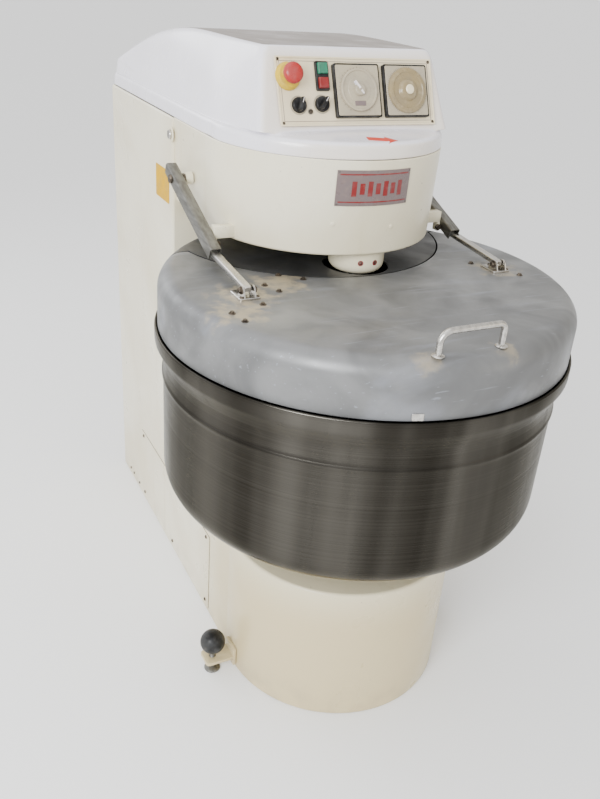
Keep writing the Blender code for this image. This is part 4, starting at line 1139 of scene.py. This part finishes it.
def make_selectors():
    """Two black switches: turned foot, raised grip, a pale pointer line and a ring behind."""
    foot = [(0, -0.0146), (0.005, -0.0146), (0.005, 0), (0.0155, 0), (0.0155, 0.0030),
            (0.0146, 0.0042), (0.0146, 0.0068), (0.0132, 0.0082), (0, 0.0084)]
    grip = [(rounded_rect(half_x, half_y, half_x * 0.9, 5), z) for half_x, half_y, z in (
        (0.0042, 0.0140, 0.0060), (0.0038, 0.0138, 0.0170), (0.0030, 0.0130, 0.0192),
        (0.0016, 0.0112, 0.0200))]
    ring = [(0.0162, -0.0005), (0.0188, -0.0005), (0.0188, 0), (0.0162, 0)]
    for node, angle in (("selector_left", -20), ("selector_right", -35)):
        at = on_plate(node) @ spin(angle)
        piece(f"{node}_knob", loft(grip, lathe(foot, 48, at=at), at), "black_plastic", node, [node])
        line = pad(0.0006, 0.0050, 0.0003, 0.0190, 0.0202, 0.0001, at=at @ shift(0, 0.0068))
        piece(f"{node}_line", line, "white_moulding", node)
        piece(f"{node}_ring", lathe(ring, 48, at=on_plate(node)), "grey_plastic")


def make_lamp():
    """Small dark lamp in a metal bezel."""
    at = on_plate("pilot_lamp")
    glass = [(0, -0.0086), (0.003, -0.0086), (0.003, 0), (0.0040, 0), (0.0040, 0.0018),
             (0.0030, 0.0034), (0, 0.0042)]
    piece("lamp_glass", lathe(glass, 28, at=at), "dark_bolt", replaces=["pilot_lamp"],
          slot="lamp_lens")
    bezel = [(0.0042, 0), (0.0056, 0), (0.0054, 0.0012), (0.0042, 0.0016)]
    piece("lamp_bezel", lathe(bezel, 28, at=at), "plain_steel")


# ---------------------------------------------------------------- bowl and its tools
def bowl_section(inset):
    """Half section of the bowl's wall, from under the rim to the middle of its floor."""
    wall, dish, corner = BOWL_WALL - inset, DISH_Z + inset, CORNER_RADIUS - inset
    slope = degrees(atan2(CORNER_Z - CORNER_RADIUS - DISH_Z + 0.020, BOWL_WALL - DISH_RADIUS))
    points = [(wall, BEAD_Z - 0.012), (wall, CORNER_Z + 0.10), (wall, CORNER_Z)]
    points += arc((wall - corner, CORNER_Z), corner, 0, -90 + slope, 18)[1:]
    points += [(DISH_RADIUS + 0.012, dish + 0.0042), (DISH_RADIUS, dish + 0.0008),
               (DISH_RADIUS - 0.010, dish), (0.10, dish), (0, dish)]
    return points


def make_bowl():
    """Spun bowl: flared rim band with a rolled lip, a crease, a bead, and a dished floor."""
    sheet = BOWL_SHEET
    lip = 0.0035
    edge = arc((RIM_RADIUS - lip, RIM_TOP - lip), lip, 0, 180, 8)
    inner_rim = [(BOWL_WALL - sheet, BEAD_Z), (BOWL_WALL - sheet, CREASE_Z),
                 (RIM_RADIUS - sheet - 0.004, RIM_TOP - 0.034),
                 (RIM_RADIUS - sheet - 0.003, RIM_TOP - 0.028)]
    outer_rim = [(RIM_RADIUS, RIM_TOP - 0.026), (RIM_RADIUS - 0.0006, RIM_TOP - 0.0300),
                 (RIM_RADIUS - 0.0028, RIM_TOP - 0.0345), (BOWL_WALL + 0.0016, CREASE_Z + 0.0035),
                 (BOWL_WALL, CREASE_Z - 0.0010), (BOWL_WALL, BEAD_Z + 0.008),
                 (BOWL_WALL + 0.0012, BEAD_Z + 0.005), (BOWL_WALL + 0.0030, BEAD_Z + 0.001),
                 (BOWL_WALL + 0.0030, BEAD_Z - 0.001), (BOWL_WALL + 0.0012, BEAD_Z - 0.005)]
    profile = bowl_section(0) + bowl_section(sheet)[::-1] + inner_rim + edge[::-1] + outer_rim
    piece("mixing_bowl", lathe(profile, 176), "bowl_stainless", "bowl", ["bowl"], sharp=40)


def turned(node, name, profile, look, body, place, segments=56, **extra):
    """Replace a turned node by a finer one of the same size."""
    piece(name, lathe(profile, segments, at=shift(*place)), look, body, [node], **extra)


def make_bowl_drive():
    """Flanged spindle under the bowl, and its bearing in the base."""
    top = DISH_Z - GAP
    foot = LOW["bowl_shaft"][2] - top
    shaft = [(0, foot), (0.0275, foot), (SHAFT_RADIUS, foot + 0.0025), (SHAFT_RADIUS, -0.034),
             (0.034, -0.028), (0.090, -0.0145), (0.148, -0.0125), (0.150, -0.0105), (0.150, 0),
             (0, 0)]
    turned("bowl_shaft", "bowl_spindle", shaft, "plain_steel", "bowl", (0, 0, top))
    deck = HIGH["bowl_bearing"][2]
    housing = [(BEARING_BORE, -0.130), (0.050, -0.130), (0.052, -0.127), (0.056, -0.022),
               (0.060, -0.018), (0.108, -0.016), (0.110, -0.014), (0.110, 0), (BEARING_BORE, 0)]
    turned("bowl_bearing", "bowl_bearing_housing", housing, "cast_iron", "frame", (0, 0, deck))


def spiral_path():
    """Centre line of the hook: out from the hub, down a helix, and in at the foot."""
    steps = 150
    low, high = LOW["spiral_hook"][2] + 0.016, 0.800
    turns, reach, entry, foot = 1.5, 0.138, 0.25, 0.72
    points = []
    for i in range(steps + 1):
        part = i / steps
        radius = reach * sin(min(1.0, part / entry) * pi / 2)
        if part > foot:
            radius *= cos((part - foot) / (1 - foot) * radians(63))
        angle = 2 * pi * turns * part
        points.append(Vector((radius * cos(angle), HEAD_Y + radius * sin(angle),
                              high + (low - high) * part)))
    return points


def make_tools():
    """Spiral hook on its hub, and the fixed breaker bar in its white boss."""
    hub_top = HIGH["spiral_hook"][2]
    hub = [(0, 0.765), (0.026, 0.767), (0.032, 0.775), (0.036, 0.800), (0.036, hub_top - 0.018),
           (0.040, hub_top - 0.012), (0.050, hub_top - 0.011), (0.052, hub_top - 0.009),
           (0.052, hub_top), (0, hub_top)]
    hook = lathe(hub, 56, at=shift(0, HEAD_Y))
    tube(spiral_path(), 0.016, 24, hook)
    piece("kneading_spiral", hook, "bright_steel", "spiral", ["spiral_hook"])
    low = hub_top + GAP
    top = HIGH["spiral_shaft"][2] - low
    shaft = [(0, 0), (0.052, 0), (0.052, 0.010), (0.050, 0.012), (0.034, 0.014),
             (SHAFT_RADIUS, 0.018), (SHAFT_RADIUS, top - 0.0025), (0.0275, top), (0, top)]
    turned("spiral_shaft", "spiral_spindle", shaft, "plain_steel", "spiral", (0, HEAD_Y, low))
    housing = [(BEARING_BORE, 0), (0.088, 0), (0.090, 0.002), (0.090, 0.010), (0.086, 0.013),
               (0.052, 0.017), (0.050, 0.048), (0.047, 0.050), (BEARING_BORE, 0.050)]
    turned("spiral_bearing", "spiral_bearing_housing", housing, "cast_iron", "frame",
           (0, HEAD_Y, LOW["spiral_bearing"][2]))

    x, y = middle_of("breaker_boss")[:2]
    low = LOW["breaker_boss"][2]
    top = HIGH["breaker_boss"][2] - low
    bore = 0.0245
    boss = [(bore, 0), (0.040, 0), (0.046, 0.0012), (0.053, 0.0048), (0.0585, 0.0115),
            (0.0605, 0.0180), (0.061, 0.026), (0.061, top), (bore, top)]
    turned("breaker_boss", "bar_boss", boss, "cream_paint", "frame", (x, y, low), 72,
           slot="white_moulding")
    bar_low = LOW["breaker_bar"][2]
    top = HIGH["breaker_bar"][2] - bar_low
    bar = [(0, 0), (0.012, 0), (0.0165, 0.003), (0.022, 0.012), (0.024, 0.230), (0.024, top),
           (0, top)]
    turned("breaker_bar", "breaker_post", bar, "bright_steel", "frame", (x, y, bar_low))
    pins, paint = bmesh.new(), bmesh.new()
    for angle in (radians(-110.5), radians(-78.5)):
        out = Vector((cos(angle), sin(angle), 0))
        at = facing(Vector((x, y, low + 0.029)) + out * 0.0608, out)
        socket_screw(0.0038, 0.0014, pins, at)
        lathe([(0, -0.001), (0.0066, -0.001), (0.0060, 0.0005), (0, 0.0007)], 24, paint, at)
    piece("boss_screws", pins, "dark_bolt", slot="plain_steel")
    piece("boss_paint_marks", paint, "mark_red", slot="red_plastic")


# ---------------------------------------------------------------- drives
def grooved(radius, bore):
    """Section of a pulley with two flanges and three grooves."""
    half = 0.022
    rim = [(bore, -half), (radius + 0.006, -half), (radius, -half + 0.005)]
    for middle in (-0.0105, 0.0, 0.0105):
        rim += [(radius, middle - 0.0042), (radius - 0.005, middle), (radius, middle + 0.0042)]
    return rim + [(radius, half - 0.005), (radius + 0.006, half), (bore, half)]


def make_drive(name, front_y, way):
    """Grooved pulleys, ribbed belt and a finned motor; the motor points up (1) or down (-1)."""
    big, small = f"{name}_pulley", f"{name}_motor_pulley"
    z = middle_of(big)[2]
    rear_y = middle_of(small)[1]
    big_radius, small_radius = 0.190, 0.050
    piece(f"{name}_sheave", lathe(grooved(big_radius, SHAFT_RADIUS + GAP), 96,
                                  at=shift(0, front_y, z)), "cast_iron", name, [big])
    at = shift(0, rear_y, z)
    wheel = lathe(grooved(small_radius, MOTOR_SHAFT + 0.0002), 64, at=at)
    rod(MOTOR_SHAFT, LOW[small][2] - z, HIGH[small][2] - z, 32, wheel, at)
    piece(f"{name}_motor_sheave", wheel, "cast_iron", f"{name}_motor_rotor", [small])

    tilt = degrees(asin((big_radius - small_radius) / (rear_y - front_y)))

    def loop(extra):
        front = arc((0, front_y), big_radius + extra, 180 - tilt, 360 + tilt, 64)
        return front + arc((0, rear_y), small_radius + extra, tilt, 180 - tilt, 28)

    section = [(0.0012, -0.016), (0.0072, -0.016), (0.0072, 0.016), (0.0012, 0.016),
               (0.0012, 0.008), (0.0030, 0.0055), (0.0012, 0.003), (0.0012, -0.003),
               (0.0030, -0.0055), (0.0012, -0.008)]
    belt = bmesh.new()
    skin(belt, [[belt.verts.new((x, y, z + level)) for x, y in loop(extra)]
                for extra, level in section], closed=True)
    piece(f"{name}_vee_belt", belt, "belt_rubber", replaces=[f"{name}_belt"])
    make_motor(name, at @ Matrix.Diagonal((1, 1, way, 1)) @ shift(0, 0, 0.034))


def make_motor(name, at):
    """Motor with cooling fins, a fan cowl, a terminal box and its mounting plate."""
    length, radius, core = 0.260, 0.098, 0.088
    bore = MOTOR_SHAFT + 0.0005
    fins = 36
    outline = []
    for i in range(fins):
        for part, reach in ((0.0, core), (0.30, core), (0.38, radius), (0.62, radius), (0.70, core)):
            angle = 2 * pi * (i + part) / fins
            outline.append((reach * cos(angle), reach * sin(angle)))
    bm = loft([(outline, 0.028), (outline, length - 0.070)], at=at)
    lathe([(0, length - 0.072), (radius, length - 0.072), (radius, length - 0.004),
           (0.090, length + 0.012), (0.060, length + 0.030), (0, length + 0.030)], 56, bm, at)
    lathe([(bore, 0), (0.092, 0), (radius, 0.004), (radius, 0.030), (bore, 0.030)], 56, bm, at)
    block((-0.050, 0.085, 0.080), (0.050, 0.118, 0.170), bm, at)
    reach = COLUMN_HALF - 0.0045
    for x0, x1 in ((-reach, -bore), (bore, reach)):
        block((x0, -0.120, 0.002), (x1, 0.120, 0.012), bm, at)
    piece(f"{name}_finned_motor", bm, "motor_paint", replaces=[f"{name}_motor"], edge=0.0008,
          segments=1)


# ---------------------------------------------------------------- lid
def lid_shell():
    """The lid's section turned about the bowl's axis: flat top, round shoulder, short skirt."""
    def section(inset):
        radius, top, edge = LID_RADIUS - inset, LID_TOP - inset, LID_EDGE - inset
        points = [(radius, LID_LOW), (radius, LID_TOP - LID_EDGE)]
        points += arc((radius - edge, top - edge), edge, 0, 90, 14)[1:]
        return points + [(0.34, top), (0.25, top), (0.12, top), (0, top)]

    return lathe(section(0) + section(0.0035)[::-1], 176)


def make_lid():
    """Lid with its cutout round the drum, and the fixed cover that fills the rest."""
    lid = to_object("bowl_lid", lid_shell())
    cut(lid, block((-WIDE, LID_REAR_Y, UNDER_LID), (WIDE, WIDE, OVER_LID)),
        rod(CUTOUT_RADIUS, UNDER_LID, OVER_LID, 160, at=shift(0, CUTOUT_Y)))
    piece("bowl_lid", lid, "lid_aluminium", "lid", ["lid"], edge=0.0012, segments=2, sharp=40)

    tab_x = 0.133
    at = facing((-tab_x, -sqrt(LID_RADIUS ** 2 - tab_x ** 2), LID_LOW + 0.008), (-0.30, -0.954, 0))
    piece("lid_tab", pad(0.011, 0.007, 0.002, -0.001, 0.0016, 0.0005, at=at), "bright_steel", "lid")

    front = LID_REAR_Y + 0.004
    radius = CUTOUT_RADIUS - 0.004
    start = degrees(asin((front - CUTOUT_Y) / radius))
    nose = arc((0, CUTOUT_Y), radius, start, -180 - start, 90)
    outline = [(WIDE, -WIDE), (WIDE, front)] + nose + [(-WIDE, front), (-WIDE, -WIDE)]
    rear = to_object("rear_lid", lid_shell())
    cut(rear, loft([(outline, UNDER_LID), (outline, OVER_LID)]))
    for size, centre in ((0.073, middle_of("breaker_boss")[:2]), (0.042, (0, HEAD_Y))):
        cut(rear, rod(size, 0.98, OVER_LID, 64, at=shift(*centre)))
    flange = block((-0.140, 0.350, LID_TOP - 0.0055), (0.140, COLUMN_FRONT - GAP, LID_TOP - 0.001))
    cut(rear, flange, operation="UNION")
    # the fixed cover takes the darkened aluminium: painted shade under the drum
    piece("rear_lid", rear, "rear_aluminium_in_shade", replaces=["rear_cover"], sharp=40, slot="lid_aluminium")


def make_handle():
    """Bent round bar with a flange under each foot."""
    radius = half_of("lid_handle")[1]
    y = middle_of("lid_handle")[1]
    left, right = LOW["lid_handle"][0] + radius, HIGH["lid_handle"][0] - radius
    top = HIGH["lid_handle"][2] - radius
    points = [(left, LID_TOP + 0.0006), (left, LID_TOP + 0.010)]
    points += arc((left + 0.022, top - 0.022), 0.022, 180, 90, 10)
    points += arc((right - 0.013, top - 0.013), 0.013, 90, 0, 8)
    points += [(right, LID_TOP + 0.010), (right, LID_TOP + 0.0006)]
    bar = tube([Vector((x, y, z)) for x, z in points], radius, 24)
    flange = [(0, 0.0004), (0.0115, 0.0004), (0.0118, 0.0016), (0.0100, 0.0030), (0.0072, 0.0042),
              (0, 0.0042)]
    for x in (left, right):
        lathe(flange, 32, bar, shift(x, y, LID_TOP))
    piece("grab_handle", bar, "bright_steel", "lid", ["lid_handle"])


def along_arm(start, end, x):
    """Matrix with Y along a line in the plane of x, and the line's length."""
    across, up = end[0] - start[0], end[1] - start[1]
    return shift(x, *start) @ spin(degrees(atan2(up, across)), "X"), hypot(across, up)


def channel(width, height, wall, corner, y0, y1, at):
    """Inverted U channel along Y, with rounded upper corners."""
    half, top, low = width / 2, height / 2, -height / 2
    outer = [(-half, low)] + arc((-half + corner, top - corner), corner, 180, 90, 5)
    outer += arc((half - corner, top - corner), corner, 90, 0, 5) + [(half, low)]
    inner_half, inner_top = half - wall, top - wall
    section = outer + [(inner_half, low), (inner_half, inner_top), (-inner_half, inner_top),
                       (-inner_half, low)]
    bm = bmesh.new()
    skin(bm, [[bm.verts.new(at @ Vector((x, y, z))) for x, z in section] for y in (y0, y1)])
    return bm


def make_arms():
    """Channel, link and bracket on each side, with their bolts."""
    low_end, high_end = (0.113, 1.050), (0.400, 1.163)
    link_low, link_top = (-0.062, 1.0345), (0.140, 1.051)
    for side, word in ((-1, "left"), (1, "right")):
        x = side * middle_of("arm_right")[0]
        at, length = along_arm(low_end, high_end, x)
        piece(f"arm_channel_{word}", channel(0.026, 0.026, 0.003, 0.0045, 0, length, at),
              "plain_steel", "lid", [f"arm_{word}"], edge=0.0006, segments=1)
        at, length = along_arm(link_low, link_top, x)
        half = half_of(f"link_{word}")[0]
        bar = bmesh.new()
        skin(bar, [[bar.verts.new(at @ Vector((px * grow, y, pz * grow)))
                    for px, pz in rounded_rect(half, 0.006, 0.0035, 4)]
                   for y, grow in ((0.0, 0.70), (0.003, 0.95), (0.008, 1.0),
                                   (length - 0.002, 1.0), (length, 0.9))])
        piece(f"lid_link_{word}", bar, "bright_steel", "lid", [f"link_{word}"])
        make_bracket(side, word, x)
        make_hinge(side, word)
        make_rest(side, word)


def make_bracket(side, word, x):
    """Foot plate, the two cheeks that hold the link's end, and the bolts round them."""
    node = f"bracket_{word}"
    foot = LOW[node][2]
    y = middle_of(node)[1]
    bm = pad(0.022, 0.026, 0.004, foot, foot + 0.004, 0.001, at=shift(x, y))
    for cheek in (-1, 1):
        outline = [(-0.016, foot + 0.003), (0.016, foot + 0.003)]
        outline += arc((0, foot + 0.0115), 0.0125, 10, 170, 10)
        skin(bm, [[bm.verts.new((x + cheek * reach, y - 0.008 + py, pz)) for py, pz in outline]
                  for reach in (0.0098, 0.0128)])
    piece(f"lid_bracket_{word}", bm, "bright_steel", "lid", [node], slot="plain_steel")
    bolts = bmesh.new()
    for way in (side, -side):
        place = (x + way * 0.0128, y - 0.008, foot + 0.0150)
        hex_bolt(0.0062, bolts, facing(place, (way, 0, 0)), 1.3)
    for dx, dy in ((0.0, 0.020), (0.0165, -0.020), (-0.0165, -0.020)):
        socket_screw(0.0045, 0.0030, bolts, shift(x + dx, y + dy, foot + 0.0036))
    offsets = ((0.112, 0.090), (0.060, 0.043), (0.074, 0.004), (0.014, -0.052), (-0.059, -0.077),
               (-0.051, -0.119), (0.152, 0.054)) if side < 0 else ((-0.030, 0.048), (0.030, -0.050))
    for dx, dy in offsets:
        hex_bolt(0.0046, bolts, shift(x + dx, y + dy, LID_TOP), 1.5)
    piece(f"lid_bolts_{word}", bolts, "dark_bolt", "lid", slot="plain_steel")


def make_hinge(side, word):
    """Hinge lug on the drum, with its pin and nut."""
    node = f"hinge_lug_{word}"
    wall, end = sorted(abs(corner[node][0]) for corner in (LOW, HIGH))
    at = facing((0, HINGE.y, HINGE.z), (side, 0, 0))
    lug = [(0.0066, wall), (0.0145, wall), (0.0142, wall + 0.003), (0.0138, wall + 0.008),
           (0.0135, end - 0.007), (0.0120, end - 0.0062), (0.0066, end - 0.0062)]
    piece(f"hinge_boss_{word}", lathe(lug, 40, at=at), "cream_paint", replaces=[node])
    nut = hexagon(((0.0115, end - 0.0060), (0.0115, end - 0.0010), (0.0105, end - 0.0002)), at=at)
    piece(f"hinge_nut_{word}", nut, "dark_bolt", slot="plain_steel")
    pin_node = f"hinge_pin_{word}"
    pin_end = max(abs(corner[pin_node][0]) for corner in (LOW, HIGH))
    pin = [(0, wall), (0.006, wall), (0.006, pin_end - 0.006), (0.0100, pin_end - 0.006),
           (0.0100, pin_end - 0.0045), (0.0085, pin_end - 0.0010), (0.0040, pin_end), (0, pin_end)]
    piece(f"hinge_bolt_{word}", lathe(pin, 32, at=at), "dark_bolt", replaces=[pin_node],
          slot="plain_steel")


def make_rest(side, word):
    """Lug that the lowered arm lies on, with its buffer bolt."""
    node = f"rest_lug_{word}"
    low = LOW[node]
    inner = abs(middle_of(f"arm_{word}")[0]) - 0.0133
    y0, y1 = low[1], HIGH[node][1]
    angle = acos(-(y0 - HEAD_Y) / (HEAD_RADIUS - 0.004))
    root = side * (HEAD_RADIUS - 0.0045) * sin(angle) * 0.985
    xs = sorted((root, side * inner))
    block_low, block_high = HEAD_LOW + 0.006, HEAD_LOW + 0.032
    bm = block((xs[0], y0, block_low), (xs[1], y1, block_high))
    drop = sorted((side * (inner - 0.007), side * inner))
    block((drop[0], y0, low[2]), (drop[1], y1, block_low + 0.001), bm)
    piece(f"rest_block_{word}", bm, "cream_paint", replaces=[node], edge=0.0015)
    buffer = lathe([(0, 0), (0.0075, 0), (0.0075, 0.004), (0.0060, 0.006), (0, 0.006)], 28,
                   at=facing((side * (inner - 0.0066), middle_of(node)[1] - 0.0106, low[2] + 0.010),
                             (0, -1, 0)))
    piece(f"rest_bolt_{word}", buffer, "dark_bolt", slot="plain_steel")


# ---------------------------------------------------------------- feet
def make_feet():
    """Angle bracket, screwed foot with its lock nut, and a ball knob, on each side."""
    for side, word in ((-1, "left"), (1, "right")):
        node = f"foot_bracket_{word}"
        x = middle_of(f"foot_screw_{word}")[0]
        at = shift(x, 0)
        inner = side * (BASE_RADIUS + 0.0006)
        outer = side * (abs(x) + 0.024)
        plate_z = LOW[node][2] + 0.020
        bm = pad(abs(outer - inner) / 2, 0.026, 0.010, plate_z, plate_z + 0.008, 0.001,
                 at=shift((inner + outer) / 2, 0))
        leg = sorted((inner, inner + side * 0.008))
        block((leg[0], -0.026, LOW[node][2]), (leg[1], 0.026, HIGH[node][2]), bm)
        bracket = to_object("bracket", bm)
        cut(bracket, rod(0.0084, 0, 0.1, at=at))
        piece(f"foot_angle_{word}", bracket, "cream_paint", replaces=[node], edge=0.001,
              slot="cast_iron")

        top = HIGH[f"foot_screw_{word}"][2]
        profile = [(0, 0), (0.019, 0), (0.020, 0.0015), (0.020, 0.0045), (0.017, 0.0070),
                   (0.010, 0.0095), (0.0077, 0.0110)]
        z = 0.012
        while z < top - 0.003:
            profile += [(0.0080, z), (0.0072, z + 0.0009)]
            z += 0.0018
        profile += [(0.0076, top), (0, top)]
        piece(f"foot_spindle_{word}", lathe(profile, 32, at=at), "plain_steel", f"foot_{word}",
              [f"foot_screw_{word}"])
        nut = hexagon(((0.0135, plate_z - 0.0085), (0.0140, plate_z - 0.0075),
                       (0.0140, plate_z - 0.0012), (0.0130, plate_z - 0.0004)), at=at)
        piece(f"foot_nut_{word}", nut, "dark_bolt", f"foot_{word}", slot="plain_steel")

        low, high = LOW[f"foot_knob_{word}"][2], HIGH[f"foot_knob_{word}"][2]
        radius = 0.031
        centre = high - radius
        ball = [(0, low), (0.0125, low), (0.0145, low + 0.0010)]
        ball += arc((0, centre), radius, -56, 88, 22) + [(0, high)]
        piece(f"foot_ball_{word}", lathe(ball, 56, at=at), "black_plastic", f"foot_{word}",
              [f"foot_knob_{word}"])


# ---------------------------------------------------------------- stage
def make_world():
    """Even studio light that is cool on the operator's left and warmer and dimmer on the right."""
    world = bpy.data.worlds.new("studio")
    world.use_nodes = True
    nodes, links = world.node_tree.nodes, world.node_tree.links
    way = nodes.new("ShaderNodeSeparateXYZ")
    links.new(nodes.new("ShaderNodeTexCoord").outputs["Generated"], way.inputs[0])
    shade = nodes.new("ShaderNodeMapRange")
    links.new(way.outputs[0], shade.inputs["Value"])
    shade.inputs["From Min"].default_value = -0.2
    shade.inputs["From Max"].default_value = 0.9
    mix = nodes.new("ShaderNodeMix")
    mix.data_type = "RGBA"
    links.new(shade.outputs[0], mix.inputs[0])
    mix.inputs[6].default_value = (0.97, 0.98, 1.0, 1.0)
    mix.inputs[7].default_value = (0.58, 0.56, 0.52, 1.0)
    links.new(mix.outputs[2], nodes["Background"].inputs["Color"])
    nodes["Background"].inputs["Strength"].default_value = 1.7
    bpy.context.scene.world = world


def make_stage():
    """Pale floor, soft lights, and the camera."""
    size = 160.0
    mesh = bpy.data.meshes.new("floor")
    mesh.from_pydata([(-size, -size, 0), (size, -size, 0), (size, size, 0), (-size, size, 0)], [],
                     [(0, 1, 2, 3)])
    floor = link("floor", mesh)
    mesh.materials.append(Look("floor", (0.92, 0.92, 0.915), 0.8).material)
    make_world()
    lights = (("key", (-2.6, -1.9, 2.3), (0, 0.1, 0.9), 1.7, 150, (0.95, 0.975, 1.0)),
              ("fill", (2.4, -2.4, 1.5), (0, 0, 0.8), 2.0, 9, (1.0, 0.90, 0.72)),
              ("top", (-0.4, 0.2, 3.6), (0, 0.2, 1.0), 2.2, 14, (1.0, 0.98, 0.95)),
              ("rear", (-1.5, 3.0, 2.4), (0, 0.5, 1.0), 1.6, 25, (0.95, 0.97, 1.0)))
    for name, place, aim, width, power, colour in lights:
        data = bpy.data.lights.new(name, "AREA")
        data.shape = "DISK"
        data.size = width
        data.energy = power
        data.color = colour
        link(name, data).matrix_world = facing(place, Vector(place) - Vector(aim))

    data = bpy.data.cameras.new("camera")
    data.lens = 37.23
    data.sensor_width = 36.0
    camera = link("camera", data)
    heading, tilt, roll = -28.3216, 62.3233, 4.4341
    camera.matrix_world = (shift(-0.911, -1.433, 1.591) @ spin(heading) @ spin(tilt, "X")
                           @ spin(roll))
    bpy.context.scene.camera = camera


LOOKS = make_looks()
for make in (make_stage, make_body, make_side_panels, make_rear, make_stickers, make_head,
             make_cover, make_badge, make_plate, make_timers, make_emergency_stop, make_keys,
             make_selectors, make_lamp, make_bowl, make_bowl_drive, make_tools):
    make()
make_drive("spiral", HEAD_Y, -1)
make_drive("bowl", 0.0, 1)
for make in (make_lid, make_handle, make_arms, make_feet):
    make()
